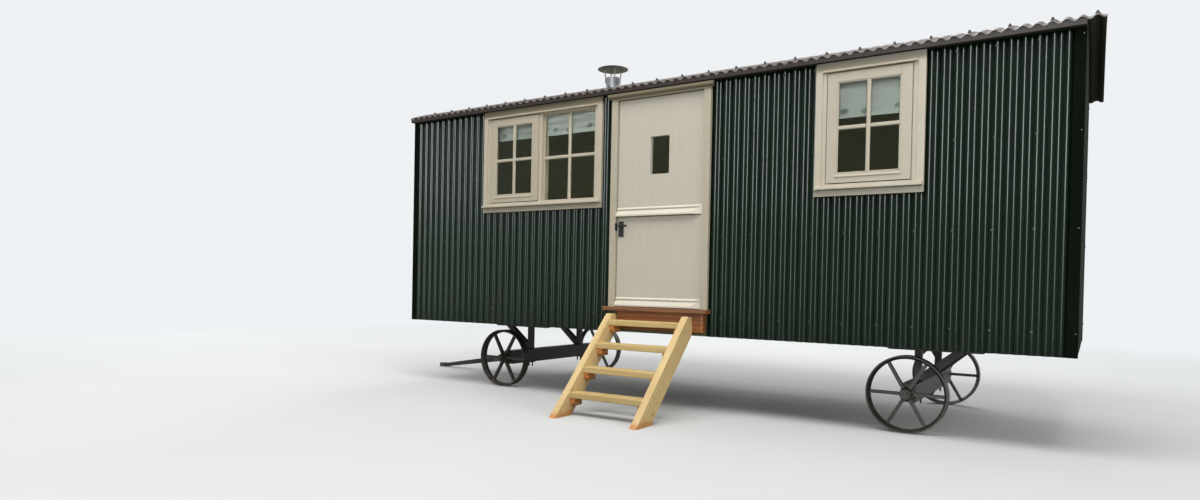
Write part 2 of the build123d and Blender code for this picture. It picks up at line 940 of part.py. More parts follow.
def build_drawbar():
    """A-frame hinged at the front axle: two legs that meet a pole with a towing eye."""
    y = roof_axis_y
    tip_z = eye_height / 2
    rise = (drawbar_pivot_z - tip_z) / (drawbar_pivot_x - drawbar_tip_x)

    def bar_z(x):
        return tip_z + (x - drawbar_tip_x) * rise

    bore = pivot_radius + pivot_clearance
    legs = []
    lugs = []
    beam_face = axle_inset - beam_width / 2
    beside_pole = pole_width / 2 + seat_gap
    for side in (-1, 1):
        centre = y + side * drawbar_spread / 2
        start = Vector(leg_start_x, y, bar_z(leg_start_x))
        knee_x = drawbar_pivot_x - 2 * boss_radius
        knee = Vector(knee_x, centre, bar_z(knee_x))
        end = Vector(drawbar_pivot_x, centre, drawbar_pivot_z)
        along = Plane(origin=start, z_dir=knee - start, x_dir=(0, 0, 1))
        leg = extrude(along * Rectangle(leg_height, leg_width), (knee - start).length)
        straight = Plane(origin=knee, z_dir=end - knee, x_dir=(0, 0, 1))
        leg += extrude(straight * Rectangle(2 * boss_radius, leg_width), (end - knee).length)
        half = boss_length / 2
        boss_start = (drawbar_pivot_x, centre - half, drawbar_pivot_z)
        boss_end = (drawbar_pivot_x, centre + half, drawbar_pivot_z)
        leg += rod(boss_start, boss_end, boss_radius)
        leg -= rod(boss_start, boss_end, bore)
        reach_y = sorted((y + side * beside_pole, centre + side * boss_length))
        leg &= block(leg_start_x, axle_inset, *reach_y, 0, skirt_bottom)
        legs.append(leg)
        inner = half + lug_gap
        outer = inner + lug_thickness
        pin_half = outer + pin_end
        lug = rod(
            (drawbar_pivot_x, centre - pin_half, drawbar_pivot_z),
            (drawbar_pivot_x, centre + pin_half, drawbar_pivot_z),
            pivot_radius,
        )
        for edge in (-1, 1):
            ends = sorted((centre + edge * inner, centre + edge * outer))
            low = drawbar_pivot_z - lug_half_height
            high = drawbar_pivot_z + lug_half_height
            lug += block(drawbar_pivot_x - lug_half_height, beam_face, *ends, low, high)
        lugs.append(lug)
    model["drawbar_legs"] = legs
    model["drawbar_hinges"] = lugs
    pole = prism_y(
        [
            (drawbar_tip_x, 0),
            (drawbar_tip_x + eye_radius, 0),
            (pole_end_x, bar_z(pole_end_x) - pole_height / 2),
            (pole_end_x, bar_z(pole_end_x) + pole_height / 2),
            (drawbar_tip_x + eye_radius, eye_height),
            (drawbar_tip_x, eye_height),
        ],
        y - pole_width / 2,
        y + pole_width / 2,
    )
    eye_place = Pos(drawbar_tip_x, y, tip_z)
    pole += eye_place * Cylinder(eye_radius, eye_height)
    pole -= eye_place * Cylinder(eye_bore, 2 * eye_height)
    model["drawbar_pole"] = [pole]


build_windows()
build_walls()
build_cladding()
build_roof()
build_flue()
build_door()
build_threshold()
build_steps()
build_chassis()
build_running_gear()
build_drawbar()

# The origin goes below the middle of everything, on the ground.
reach_left = drawbar_tip_x - eye_radius
reach_right = body_length + right_verge
step_front = -tread_front - step_rise * step_count / math.tan(math.radians(step_slope))
reach_back = body_depth + eave_overhang
shift = Pos(-(reach_left + reach_right) / 2, -(step_front + reach_back) / 2, 0)

os.makedirs("parts", exist_ok=True)
for node, solids in model.items():
    placed = [shift * solid for solid in solids]
    shape = placed[0] if len(placed) == 1 else Compound(children=placed)
    export_step(shape, "parts/" + node + ".step")
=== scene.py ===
import math
from contextlib import contextmanager
import bpy
from mathutils import Matrix, Vector


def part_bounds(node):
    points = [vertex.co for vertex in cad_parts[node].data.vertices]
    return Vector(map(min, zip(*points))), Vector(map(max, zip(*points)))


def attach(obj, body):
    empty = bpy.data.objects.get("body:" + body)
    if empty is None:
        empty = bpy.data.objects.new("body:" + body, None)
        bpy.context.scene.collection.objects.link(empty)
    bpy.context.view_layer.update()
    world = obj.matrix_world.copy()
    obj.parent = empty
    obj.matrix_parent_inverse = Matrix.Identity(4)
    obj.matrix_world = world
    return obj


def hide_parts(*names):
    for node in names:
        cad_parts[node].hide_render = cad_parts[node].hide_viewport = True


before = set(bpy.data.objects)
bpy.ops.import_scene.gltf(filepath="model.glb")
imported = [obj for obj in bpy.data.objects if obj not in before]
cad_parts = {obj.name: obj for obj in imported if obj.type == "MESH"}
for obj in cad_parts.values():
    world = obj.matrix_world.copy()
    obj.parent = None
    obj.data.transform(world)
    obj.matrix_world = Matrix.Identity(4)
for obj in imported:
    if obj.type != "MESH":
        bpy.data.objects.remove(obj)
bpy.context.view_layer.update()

QUARTER = math.radians(90)

# Corrugated sheet, in metres
PITCH = 0.0762
WAVE_DEPTH = 0.018
SHEET = 0.0015
PITCHES_COVERED = 8
LAP_STEP = 0.0008
ARC_STEPS = 4
LEFT_CREST = 0.060
RIGHT_CREST = 3.362
ROOF_CREST = 0.0722
END_CREST = 0.095
EAVE_SLOPE = math.radians(22.5)
ROOF_STEPS = 28
VAULT_SIDES = 512
FILLER = 0.012
FLUE_SIDES = 64
FLUE_CLEAR = 0.002
BOOT_CLEAR = 0.02

# Angles in degrees past which an edge counts as sharp, on most pieces and on some of their own
SHARP = 35
SHARP_SHEET = 60
SHARP_CLOTH = 80
SHARP_LEAF = 80

# Heights between which algae and painted shade from the eaves thicken on the paint
ALGAE_AND_EAVE_SHADE_RISE = (2.494, 2.526)

# Height over which algae and painted shade thicken on the casings up to the underside of the sills
SILL_ALGAE_AND_SHADE = 0.035

# Heights between which the stain fades at the foot of the steps
FOOT_STAIN = (0.045, 0.075)

# Rows of fixings: heights on the walls, shares of the way from the ridge to an eave
SCREW_ROWS = (0.75, 1.38, 1.96, 2.53)
BOLT_ROWS = (-0.9, -0.45, 0.45, 0.9)

# Crests that carry screws, counted along each wall from the crest that its sheets are set by
LEFT_SCREWS = (0, 3, 5, 7, 10, 13, 16, 19, 22, 25, 28)
RIGHT_SCREWS = range(0, 32, 3)
REAR_SCREWS = range(0, 76, 3)
END_SCREWS = range(0, 30, 3)

# Widths of eased edges
BOARD_EDGE = 0.002
BEAM_EDGE = 0.003
SASH_EDGE = 0.0018
LEAF_EDGE = 0.0015
FRAME_EDGE = 0.0012
BAR_EDGE = 0.006
FINE_EDGE = 0.001

# Windows
CASING_LAP = 0.025
CASING_FACE = 0.075
CASING_HEAD = 0.070
CASING_FOOT = 0.045
ARCHITRAVE = 0.045
LINING_SET = 0.008
REVEAL = 0.085
MULLION = 0.045
SASH_GAP = 0.004
SILL_SET = 0.001
SILL_FALL = 0.007
STILE = 0.070
RAIL = 0.064
BEAD = 0.009
BEAD_SET = 0.003
BAR = 0.027
BAR_PROUD = 0.009
CROSS_BAR_SET = 0.001
WATER_BEAD_DROP = 0.008

# Blinds
BLIND_COLUMNS = 24
BLIND_ROWS = 48
BLIND_FOLDS = 3
BLIND_BELLY = 0.006
BLIND_CLOTH = 0.0008
HEM = 0.022
HEM_FRONT = 0.0015
HEM_BACK = 0.0022
SPRIG_SPACING = 0.17
SPRIG_HEIGHTS = (0.034, 0.056)
SPRIG_SIZE = (0.038, 0.027)

# Door
JAMB_FACE = 0.0575
JAMB_LAP = 0.020
DOOR_GAP = 0.005
DOOR_RECESS = 0.022
BOARD_WIDTH = 0.0886
GROOVE_WIDTH = 0.003
GROOVE_DEPTH = 0.0014
WEATHER_PROUD = 0.034
WEATHER_END = 0.078
KNUCKLE = 0.006
KNUCKLES = 5
KNUCKLE_CLEAR = 0.0004
HINGE_LENGTH = 0.090
HINGE_ABOVE_SILL = 0.067
HINGE_BELOW_SPLIT = 0.090
HINGE_ABOVE_SPLIT = 0.110
HINGE_BELOW_HEAD = 0.108
HANDLE_PLATE = 0.006
HANDLE_MIDDLE = 0.024
ROSE_BELOW_TOP = 0.038
KEYHOLE_ABOVE_FOOT = 0.045
HANDLE_SCREW_IN = 0.010
KEEP_BELOW_SPLIT = (0.112, 0.048)
KEEP_PLATE = 0.0016

# Stage
BACKGROUND = (0.86, 0.88, 0.90, 1.0)
FLOOR_SIZE = 120
FLOOR_FADE = (4.5, 12.0)

# Directions in which grain or brush marks run
ALONG_X = (0, 0, 0)
ALONG_Y = (0, 0, -QUARTER)
ALONG_Z = (0, QUARTER, 0)
UP_THE_STEPS = (-QUARTER / 2, 0, -QUARTER)

# Places taken from the frame
HUT_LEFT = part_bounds("eaves_fascias")[0].x
HUT_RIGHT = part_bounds("eaves_fascias")[1].x
SILL_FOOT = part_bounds("window_sills")[0].z
WALL_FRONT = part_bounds("front_cladding")[0].y
WALL_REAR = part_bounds("rear_cladding")[1].y
WALL_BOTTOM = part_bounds("front_cladding")[0].z
WALL_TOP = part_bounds("front_cladding")[1].z
JAMB_LOW, JAMB_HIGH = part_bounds("door_jambs")
MIDDLE_Y = (WALL_FRONT + WALL_REAR) / 2
ROOF_LOW, ROOF_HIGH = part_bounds("roof_sheet")
ROOF_RADIUS = (ROOF_HIGH.y - ROOF_LOW.y) / 2 / math.sin(EAVE_SLOPE)
ROOF_AXIS_Z = ROOF_HIGH.z - ROOF_RADIUS
ARC_ANGLE = 2 * math.atan2(WAVE_DEPTH / 2, PITCH / 4)
ARC_RADIUS = PITCH / 4 / math.sin(ARC_ANGLE)


# Camera
def build_camera():
    """Stands where the photograph was taken, off the hut's right-hand front corner."""
    place = Vector((3.19215, -5.96395, 0.97984))
    yaw, pitch, roll = 0.581938, -0.013787, 0.020264
    forward = Vector(
        (-math.sin(yaw) * math.cos(pitch), math.cos(yaw) * math.cos(pitch), math.sin(pitch))
    )
    right = Vector((math.cos(yaw), math.sin(yaw), 0))
    up = right.cross(forward)
    level_right = right * math.cos(roll) + up * math.sin(roll)
    level_up = up * math.cos(roll) - right * math.sin(roll)
    data = bpy.data.cameras.new("camera")
    data.lens = 22.5
    data.sensor_width = 36.0
    data.shift_y = 0.0385
    camera = bpy.data.objects.new("camera", data)
    bpy.context.collection.objects.link(camera)
    turn = Matrix((level_right, level_up, -forward)).transposed()
    camera.matrix_world = Matrix.Translation(place) @ turn.to_4x4()
    bpy.context.scene.camera = camera


# Modelling helpers
def clear_selection():
    """Back to object mode with nothing selected."""
    if bpy.context.object and bpy.context.object.mode != "OBJECT":
        bpy.ops.object.mode_set(mode="OBJECT")
    bpy.ops.object.select_all(action="DESELECT")


def take(*pieces):
    """Selects just these pieces, the first one active."""
    clear_selection()
    for piece in pieces:
        piece.select_set(True)
    bpy.context.view_layer.objects.active = pieces[0]


@contextmanager
def editing(piece, test=None):
    """Edit mode with all of a piece selected, or only the points whose place passes a test."""
    take(piece)
    bpy.ops.object.mode_set(mode="EDIT")
    bpy.ops.mesh.select_all(action="DESELECT" if test else "SELECT")
    if test:
        bpy.ops.mesh.select_mode(type="VERT")
        bpy.ops.object.mode_set(mode="OBJECT")
        for point in piece.data.vertices:
            point.select = test(point.co)
        bpy.ops.object.mode_set(mode="EDIT")
    yield
    bpy.ops.object.mode_set(mode="OBJECT")


def extrude(along):
    bpy.ops.mesh.extrude_region_move(TRANSFORM_OT_translate={"value": along})


def settle(piece, place=None, turn=None):
    """Moves and turns a piece where asked, and puts its place, turn and size into its mesh."""
    if place:
        piece.location = place
    if turn:
        piece.rotation_euler = turn
    take(piece)
    bpy.ops.object.transform_apply(location=True, rotation=True, scale=True)
    return piece


def slab(low, high):
    """A cuboid between two corners."""
    clear_selection()
    low, high = Vector(low), Vector(high)
    bpy.ops.mesh.primitive_cube_add(size=1, location=(low + high) / 2, scale=high - low)
    return settle(bpy.context.object)


def barrel(start, end, radius, sides=24, end_radius=None):
    """A round bar, or a cone, from point to point."""
    clear_selection()
    start, end = Vector(start), Vector(end)
    line = end - start
    bpy.ops.mesh.primitive_cone_add(
        vertices=sides, radius1=radius, radius2=radius if end_radius is None else end_radius,
        depth=line.length, location=(start + end) / 2,
        rotation=line.to_track_quat("Z", "Y").to_euler(),
    )
    return settle(bpy.context.object)


def single_point(place=(0, 0, 0)):
    """A mesh of one point, to be drawn out into lines and faces."""
    clear_selection()
    bpy.ops.mesh.primitive_plane_add(size=0.001, location=place)
    piece = bpy.context.object
    with editing(piece):
        bpy.ops.mesh.merge(type="CENTER")
    return piece


def modify(piece, kind, **settings):
    """Puts a modifier with these settings on a piece."""
    modifier = piece.modifiers.new(kind.lower(), kind)
    for key, value in settings.items():
        setattr(modifier, key, value)


def apply_modifiers(piece):
    take(piece)
    for modifier in list(piece.modifiers):
        bpy.ops.object.modifier_apply(modifier=modifier.name)
    return piece


def add_bevel(piece, width, segments=2, angle=SHARP):
    modify(
        piece, "BEVEL", width=width, segments=segments, limit_method="ANGLE",
        angle_limit=math.radians(angle),
    )


def ease(piece, width, segments=2, angle=SHARP):
    """Rounds the edges that are sharper than the angle."""
    add_bevel(piece, width, segments, angle)
    return apply_modifiers(piece)


def carve(piece, tool, operation="DIFFERENCE"):
    """Cuts one closed shape with another, which is then used up."""
    modify(piece, "BOOLEAN", object=tool, operation=operation, solver="EXACT")
    apply_modifiers(piece)
    bpy.data.objects.remove(tool)
    return piece


def saw(piece, place, direction, close=True):
    """Cuts a piece at a plane and drops the side that the direction points to; a solid's cut is
    closed."""
    with editing(piece):
        bpy.ops.mesh.bisect(plane_co=place, plane_no=direction, clear_outer=True, use_fill=close)


def thicken(piece, thickness):
    """Gives a sheet its thickness, half to each side."""
    modify(piece, "SOLIDIFY", thickness=thickness, offset=0)
    return apply_modifiers(piece)


def tidy_faces(piece):
    """Merges doubles and turns every face outwards."""
    with editing(piece):
        bpy.ops.mesh.remove_doubles(threshold=0.00002)
        bpy.ops.mesh.normals_make_consistent(inside=False)
    return piece


def moulding(profile, start, end, upright=False):
    """A closed section drawn out between two places: along X from (y, z) points, or upright
    along Z from (x, y) points."""

    def place(point):
        return Vector((*point, start)) if upright else Vector((start, *point))

    piece = single_point(place(profile[0]))
    with editing(piece):
        for here, there in zip(profile, profile[1:]):
            extrude(place(there) - place(here))
        bpy.ops.mesh.select_all(action="SELECT")
        bpy.ops.mesh.edge_face_add()
        extrude((0, 0, end - start) if upright else (end - start, 0, 0))
    return tidy_faces(settle(piece))


def mitred_boards(outer, inner, front, back):
    """Four boards round an opening in a wall, mitred where they meet. Corners are (x, z)."""
    (x0, z0), (x1, z1) = outer
    (a0, c0), (a1, c1) = inner
    sides = [
        ((x0, z0), (a0, z1)), ((a1, z0), (x1, z1)), ((x0, z0), (x1, c0)), ((x0, c1), (x1, z1))
    ]
    boards = []
    for (low_x, low_z), (high_x, high_z) in sides:
        board = slab((low_x, front, low_z), (high_x, back, high_z))
        centre = Vector(((low_x + high_x) / 2, 0, (low_z + high_z) / 2))
        for x, a in ((x0, a0), (x1, a1)):
            for z, c in ((z0, c0), (z1, c1)):
                if low_x <= x <= high_x and low_z <= z <= high_z:
                    across = Vector((c - z, 0, x - a))
                    if across.dot(centre - Vector((x, 0, z))) > 0:
                        across.negate()
                    saw(board, (x, 0, z), across)
        boards.append(ease(board, BOARD_EDGE))
    return boards


def join(pieces):
    take(*pieces)
    if len(pieces) > 1:
        bpy.ops.object.join()
    return pieces[0]


def placed(place, angle, axis):
    """The matrix that turns a copy about an axis and then moves it to its place."""
    return Matrix.Translation(place) @ Matrix.Rotation(angle, 4, axis)


def copies(model, places):
    """Copies of one model, each with its own mesh, turned and moved by its matrix."""
    made = []
    for place in places:
        copy = model.copy()
        copy.data = model.data.copy()
        copy.data.transform(place)
        bpy.context.collection.objects.link(copy)
        made.append(copy)
    bpy.data.objects.remove(model)
    return made


def finish_piece(pieces, name, finish, body="root", replaces=(), angle=SHARP):
    """Joins pieces under one name, shades them smooth between edges sharper than the angle, with
    broad faces kept flat, and gives them their finish and the body they move with."""
    piece = join(pieces)
    piece.name = name
    piece.data.name = name
    piece.data.materials.clear()
    piece.data.materials.append(finishes[finish])
    bpy.ops.object.shade_smooth_by_angle(angle=math.radians(angle))
    modify(piece, "WEIGHTED_NORMAL", keep_sharp=True, weight=100)
    apply_modifiers(piece)
    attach(piece, body)
    if replaces:
        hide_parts(*replaces)
    return piece


def part_box(node, start, end):
    """Corners of the part of a node that lies between two places along X."""
    points = [v.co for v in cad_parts[node].data.vertices if start <= v.co.x <= end]
    low = Vector([min(p[i] for p in points) for i in range(3)])
    high = Vector([max(p[i] for p in points) for i in range(3)])
    return low, high


# Material helpers
finishes = {}


def paint(red, green, blue):
    """A colour written as on a colour card, 0 to 255, as the renderer's linear values."""

    def linear(value):
        share = value / 255
        return share / 12.92 if share <= 0.04045 else ((share + 0.055) / 1.055) ** 2.4

    return (linear(red), linear(green), linear(blue), 1.0)


class Recipe:
    """A node tree with short calls that place nodes and join them."""

    def __init__(self, tree):
        self.tree = tree

    def fill(self, node, values):
        """Links a node's inputs to sockets, or sets them to plain values; returns its outputs."""
        for key, value in values.items():
            if isinstance(value, bpy.types.NodeSocket):
                self.tree.links.new(value, node.inputs[key])
            else:
                node.inputs[key].default_value = value
        return node.outputs

    def add(self, kind, values=None, **settings):
        """Places a node with its inputs and settings; returns its outputs."""
        node = self.tree.nodes.new("ShaderNode" + kind)
        for key, value in settings.items():
            setattr(node, key, value)
        return self.fill(node, values or {})

    def effect(self, group, **values):
        """Places a shared effect with its own values; returns its outputs."""
        node = self.tree.nodes.new("ShaderNodeGroup")
        node.node_tree = bpy.data.node_groups[group]
        return self.fill(node, values)

    def mix(self, factor, first, second):
        """Colour mix; inputs 6 and 7 are its two colours, and output 2 is their mix."""
        return self.add("Mix", {0: factor, 6: first, 7: second}, data_type="RGBA")[2]

    def calc(self, operation, first, second=0.0):
        return self.add("Math", {0: first, 1: second}, operation=operation)[0]

    def plus(self, first, second):
        return self.calc("ADD", first, second)

    def times(self, product, *factors):
        for factor in factors:
            product = self.calc("MULTIPLY", product, factor)
        return product

    def between(self, value, low, high, to_low=0.0, to_high=1.0):
        """Rescales a value's range from low and high to two others, clamped."""
        ends = {"From Min": low, "From Max": high, "To Min": to_low, "To Max": to_high}
        return self.add("MapRange", {"Value": value, **ends})["Result"]

    def noise(self, vector, scale, detail=3.0, rough=0.5):
        values = {"Vector": vector, "Scale": scale, "Detail": detail, "Roughness": rough}
        return self.add("TexNoise", values)["Fac"]

    def mapped(self, vector, scale=(1, 1, 1), turn=(0, 0, 0), shift=(0, 0, 0)):
        values = {"Vector": vector, "Scale": scale, "Rotation": turn, "Location": shift}
        return self.add("Mapping", values)["Vector"]

    def share(self, vector, axis):
        """One of a vector's three numbers."""
        return self.add("SeparateXYZ", {0: vector})[axis]

    def surface(self, colour, rough=None, relief=None, strength=0.0, depth=0.0):
        """Feeds the Principled shader its colour and, where given, its roughness and relief."""
        values = {"Base Color": colour}
        if rough is not None:
            values["Roughness"] = rough
        if relief is not None:
            bump = self.add("Bump", {"Height": relief, "Strength": strength, "Distance": depth})
            values["Normal"] = bump["Normal"]
        self.fill(self.tree.nodes["Principled BSDF"], values)

    def blend_shaders(self, factor, first, second, output):
        """Mixes a shader that the tree came with and another into the tree's output node."""
        nodes = self.tree.nodes
        both = self.add("MixShader", {0: factor, 1: nodes[first].outputs[0], 2: second})
        self.fill(nodes[output], {"Surface": both[0]})


def new_group(name, inputs, outputs):
    """A node group whose sockets are of the kinds given; returns its recipe, the sockets that
    bring its inputs and the node that takes its outputs."""
    tree = bpy.data.node_groups.new(name, "ShaderNodeTree")
    for sockets, direction in ((inputs, "INPUT"), (outputs, "OUTPUT")):
        for label, kind in sockets.items():
            tree.interface.new_socket(label, in_out=direction, socket_type="NodeSocket" + kind)
    return Recipe(tree), tree.nodes.new("NodeGroupInput").outputs, tree.nodes.new("NodeGroupOutput")


def new_material(name, **sockets):
    """A finish with plain values on its Principled shader; returns its recipe and the place in
    the object's own coordinates."""
    material = bpy.data.materials.new(name)
    material.use_nodes = True
    finishes[name] = material
    recipe = Recipe(material.node_tree)
    shader = material.node_tree.nodes["Principled BSDF"]
    recipe.fill(shader, {key.replace("_", " "): value for key, value in sockets.items()})
    return recipe, recipe.add("TexCoord")["Object"]


# Effects that several materials share
def build_weathering():
    """Uneven wear and grime that carry one colour towards its worn one."""
    recipe, given, out = new_group(
        "weathering",
        dict(place="Vector", colour="Color", worn="Color", amount="Float", scale="Float"),
        dict(colour="Color"),
    )
    broad = recipe.noise(given["place"], given["scale"], 4.0, 0.6)
    fine = recipe.noise(given["place"], recipe.times(given["scale"], 14.0), 3.0, 0.6)
    mask = recipe.times(
        recipe.between(broad, 0.35, 0.75), recipe.between(fine, 0.3, 0.7), given["amount"]
    )
    recipe.fill(out, {"colour": recipe.mix(mask, given["colour"], given["worn"])})


def build_timber_grain():
    """Growth rings, pores and knots of a sawn board whose grain runs along X."""
    recipe, given, out = new_group(
        "timber_grain",
        dict(place="Vector", light="Color", dark="Color", knot="Color", ring_scale="Float",
             knot_size="Float"),
        dict(colour="Color", height="Float"),
    )
    drawn = recipe.mapped(given["place"], scale=(0.22, 1, 1), shift=(0, 0.37, 0.21))
    wander = recipe.noise(drawn, 3.0, 2.0)
    knots = recipe.add("TexVoronoi", {"Vector": given["place"], "Scale": 5.5})["Distance"]
    knot = recipe.between(knots, 0.0, given["knot_size"], 1.0, 0.0)
    rings = recipe.add(
        "TexWave",
        {"Vector": drawn, "Scale": given["ring_scale"], "Distortion": 5.0, "Detail": 2.0,
         "Detail Scale": 1.4, "Phase Offset": recipe.times(recipe.plus(wander, knot), 9.0)},
        wave_type="RINGS",
        rings_direction="X",
    )["Fac"]
    pores = recipe.noise(recipe.mapped(given["place"], scale=(6, 210, 210)), 1.0, 2.0)
    grain = recipe.plus(recipe.times(rings, 0.7), recipe.times(pores, 0.4))
    board = recipe.mix(recipe.between(grain, 0.15, 1.0), given["light"], given["dark"])
    heart = recipe.times(recipe.between(knot, 0.25, 0.75), 0.8)
    recipe.fill(out, {"colour": recipe.mix(heart, board, given["knot"]), "height": grain})


def build_brush_marks():
    """Long soft ridges that a brush leaves in paint, along X of the given place."""
    recipe, given, out = new_group(
        "brush_marks", dict(place="Vector"), dict(height="Float", tone="Float")
    )
    ridges = recipe.noise(recipe.mapped(given["place"], scale=(3, 260, 260)), 1.0, 2.0)
    sags = recipe.noise(given["place"], 9.0, 2.0)
    height = recipe.plus(ridges, recipe.times(sags, 0.8))
    recipe.fill(out, {"height": height, "tone": recipe.between(sags, 0.3, 0.7)})


def build_dust():
    """Splashed dirt that thins out between two heights above the ground."""
    recipe, given, out = new_group(
        "dust", dict(place="Vector", low="Float", high="Float", amount="Float"),
        dict(mask="Float"),
    )
    height = recipe.share(given["place"], "Z")
    fade = recipe.between(height, given["low"], given["high"], 1.0, 0.0)
    specks = recipe.between(recipe.noise(given["place"], 45.0, 5.0, 0.7), 0.42, 0.62)
    patches = recipe.between(recipe.noise(given["place"], 3.0), 0.3, 0.7)
    recipe.fill(out, {"mask": recipe.times(fade, specks, patches, given["amount"])})


# Materials
def painted_sheet(name, colour, worn, shine, splash, rough):
    """Factory-painted corrugated steel; its underside is rougher and painted darker, which is
    painted shade.
    """
    recipe, where = new_material(name, Specular_IOR_Level=shine, IOR=1.5)
    worn = paint(*worn)
    wear = recipe.effect(
        "weathering", place=recipe.mapped(where, scale=(1, 1, 0.35)), colour=paint(*colour),
        worn=worn, amount=0.5, scale=3.0,
    )["colour"]
    dust = recipe.effect("dust", place=where, low=0.6, high=1.5, amount=splash)["mask"]
    streaks = recipe.noise(recipe.mapped(where, scale=(60, 60, 1.2)), 1.0)
    washed = recipe.mix(recipe.times(recipe.between(streaks, 0.5, 0.8), 0.25), wear, worn)
    dusty = recipe.mix(dust, washed, paint(120, 118, 100))
    # Faces turned downwards get paint(50, 48, 39): painted shade on the sheets' undersides; they
    # are also made rougher
    facing = recipe.share(recipe.add("NewGeometry")["Normal"], "Z")
    under = recipe.between(facing, -0.5, -0.15, 1.0, 0.0)
    gloss = recipe.plus(recipe.between(streaks, 0.2, 0.8, rough, rough + 0.08), dust)
    dents = recipe.noise(recipe.mapped(where, scale=(5, 5, 1.6)), 1.0, 2.0)
    recipe.surface(
        recipe.mix(under, dusty, paint(50, 48, 39)),
        recipe.plus(gloss, recipe.times(under, 0.4)),
        dents, 0.25, 0.004,
    )


def painted_timber(name, colour, worn, turn, sill_algae_and_shade=0.0):
    """Brushed paint on planed timber; turn lays the brush marks along the board, and
    sill_algae_and_shade is how strongly an olive tint of green growth and painted shade darkens
    it just below the window sills."""
    recipe, where = new_material(name, Specular_IOR_Level=0.35)
    worn = paint(*worn)
    marks = recipe.effect("brush_marks", place=recipe.mapped(where, turn=turn))
    wear = recipe.effect(
        "weathering", place=where, colour=paint(*colour), worn=worn, amount=0.4, scale=4.5
    )["colour"]
    dust = recipe.effect("dust", place=where, low=0.8, high=1.1, amount=0.25)["mask"]
    toned = recipe.mix(recipe.times(marks["tone"], 0.18), wear, worn)
    dusty = recipe.mix(dust, toned, paint(150, 138, 112))
    height = recipe.share(where, "Z")
    # Olive tint near the eaves: partly algae, partly painted shade where the eaves keep light off
    # the boards
    algae_and_shade = recipe.times(recipe.between(height, *ALGAE_AND_EAVE_SHADE_RISE), 0.9)
    # Below the sills the tint is partly algae and partly painted shade, where the sill keeps light
    # off the casing
    if sill_algae_and_shade:
        under_sill_shade_and_algae = recipe.between(height, SILL_FOOT - SILL_ALGAE_AND_SHADE, SILL_FOOT, 0.2, sill_algae_and_shade)
        under_sill_shade_and_algae = recipe.times(under_sill_shade_and_algae, recipe.calc("LESS_THAN", height, SILL_FOOT))
        algae_and_shade = recipe.calc("MAXIMUM", algae_and_shade, under_sill_shade_and_algae)
    recipe.surface(
        # paint(100, 90, 64) is the olive of algae and painted shade
        recipe.mix(algae_and_shade, dusty, paint(100, 90, 64)),
        recipe.between(marks["height"], 0.4, 1.3, 0.38, 0.55),
        marks["height"], 0.22, 0.0008,
    )


def bare_timber(name, light, dark, knot, turn, rough=0.62, foot=0.0):
    """Sawn or planed timber with its grain turned along the board; foot is how strongly its
    end is stained where it stands on the ground."""
    recipe, where = new_material(name, Specular_IOR_Level=0.3)
    dark = paint(*dark)
    grain = recipe.effect(
        "timber_grain", place=recipe.mapped(where, turn=turn), light=paint(*light), dark=dark,
        knot=paint(*knot), ring_scale=9.0, knot_size=0.13,
    )
    dust = recipe.effect("dust", place=where, low=0.0, high=0.35, amount=0.6)["mask"]
    wear = recipe.effect(
        "weathering", place=where, colour=grain["colour"], worn=dark, amount=0.35, scale=6.0
    )["colour"]
    colour = recipe.mix(dust, wear, paint(120, 84, 50))
    if foot:
        ragged = recipe.times(recipe.noise(where, 16.0, 2.0), 0.05)
        edge = recipe.plus(recipe.share(where, "Z"), ragged)
        stain = recipe.between(edge, *FOOT_STAIN, foot, 0.0)
        colour = recipe.mix(stain, colour, paint(190, 122, 56))
    gloss = recipe.between(grain["height"], 0.2, 1.0, rough - 0.08, rough + 0.08)
    recipe.surface(colour, gloss, grain["height"], 0.4, 0.0006)


def iron(name, colour, rust):
    """Painted iron or dull lead, with rust and road dust in places."""
    recipe, where = new_material(name, Specular_IOR_Level=0.32)
    wear = recipe.effect(
        "weathering", place=where, colour=paint(*colour), worn=paint(92, 62, 42), amount=rust,
        scale=7.0,
    )["colour"]
    dust = recipe.effect("dust", place=where, low=0.0, high=0.5, amount=0.7)["mask"]
    pits = recipe.noise(where, 420.0, 3.0, 0.6)
    recipe.surface(
        recipe.mix(dust, wear, paint(105, 92, 76)), recipe.plus(recipe.times(dust, 0.4), 0.45),
        pits, 0.3, 0.0007,
    )


def bright_metal(name, colour, rough):
    """Bare metal with fine upright brushed lines."""
    recipe, where = new_material(name, Metallic=1.0)
    lines = recipe.noise(recipe.mapped(where, turn=ALONG_Z, scale=(4, 700, 700)), 1.0, 2.0)
    wear = recipe.effect(
        "weathering", place=where, colour=paint(*colour), worn=paint(110, 104, 98), amount=0.5,
        scale=8.0,
    )["colour"]
    gloss = recipe.between(lines, 0.3, 0.7, rough - 0.06, rough + 0.08)
    recipe.surface(wear, gloss, lines, 0.15, 0.0003)


def window_glass(name):
    """Clear glass with a faint film of dust; the leaf-green tint of its reflections is a painted
    reflection.
    """
    # Specular_Tint paints a leaf-green reflection onto the glass
    recipe, where = new_material(
        name, Transmission_Weight=1.0, IOR=1.3, Specular_Tint=(0.78, 0.80, 0.50, 1.0)
    )
    film = recipe.between(recipe.noise(where, 6.0, 4.0), 0.45, 0.8)
    recipe.surface(
        recipe.mix(film, paint(240, 241, 234), paint(226, 228, 216)), recipe.times(film, 0.05)
    )


def blind_weave(name, sprigs):
    """Pale grey weave, with a row of small leaves above the hem where sprigs asks for it."""
    recipe, where = new_material(name, Roughness=0.9, Specular_IOR_Level=0.15)
    warp, weft = [
        recipe.add("TexWave", {"Vector": where, "Scale": 180.0}, bands_direction=axis)["Fac"]
        for axis in "XZ"
    ]
    weave = recipe.calc("MAXIMUM", warp, weft)
    cloth = recipe.mix(weave, paint(122, 125, 129), paint(139, 142, 146))
    if sprigs:
        cloth = recipe.mix(sprig_mask(recipe, where), cloth, paint(52, 68, 56))
    recipe.surface(cloth, relief=weave, strength=0.3, depth=0.0004)


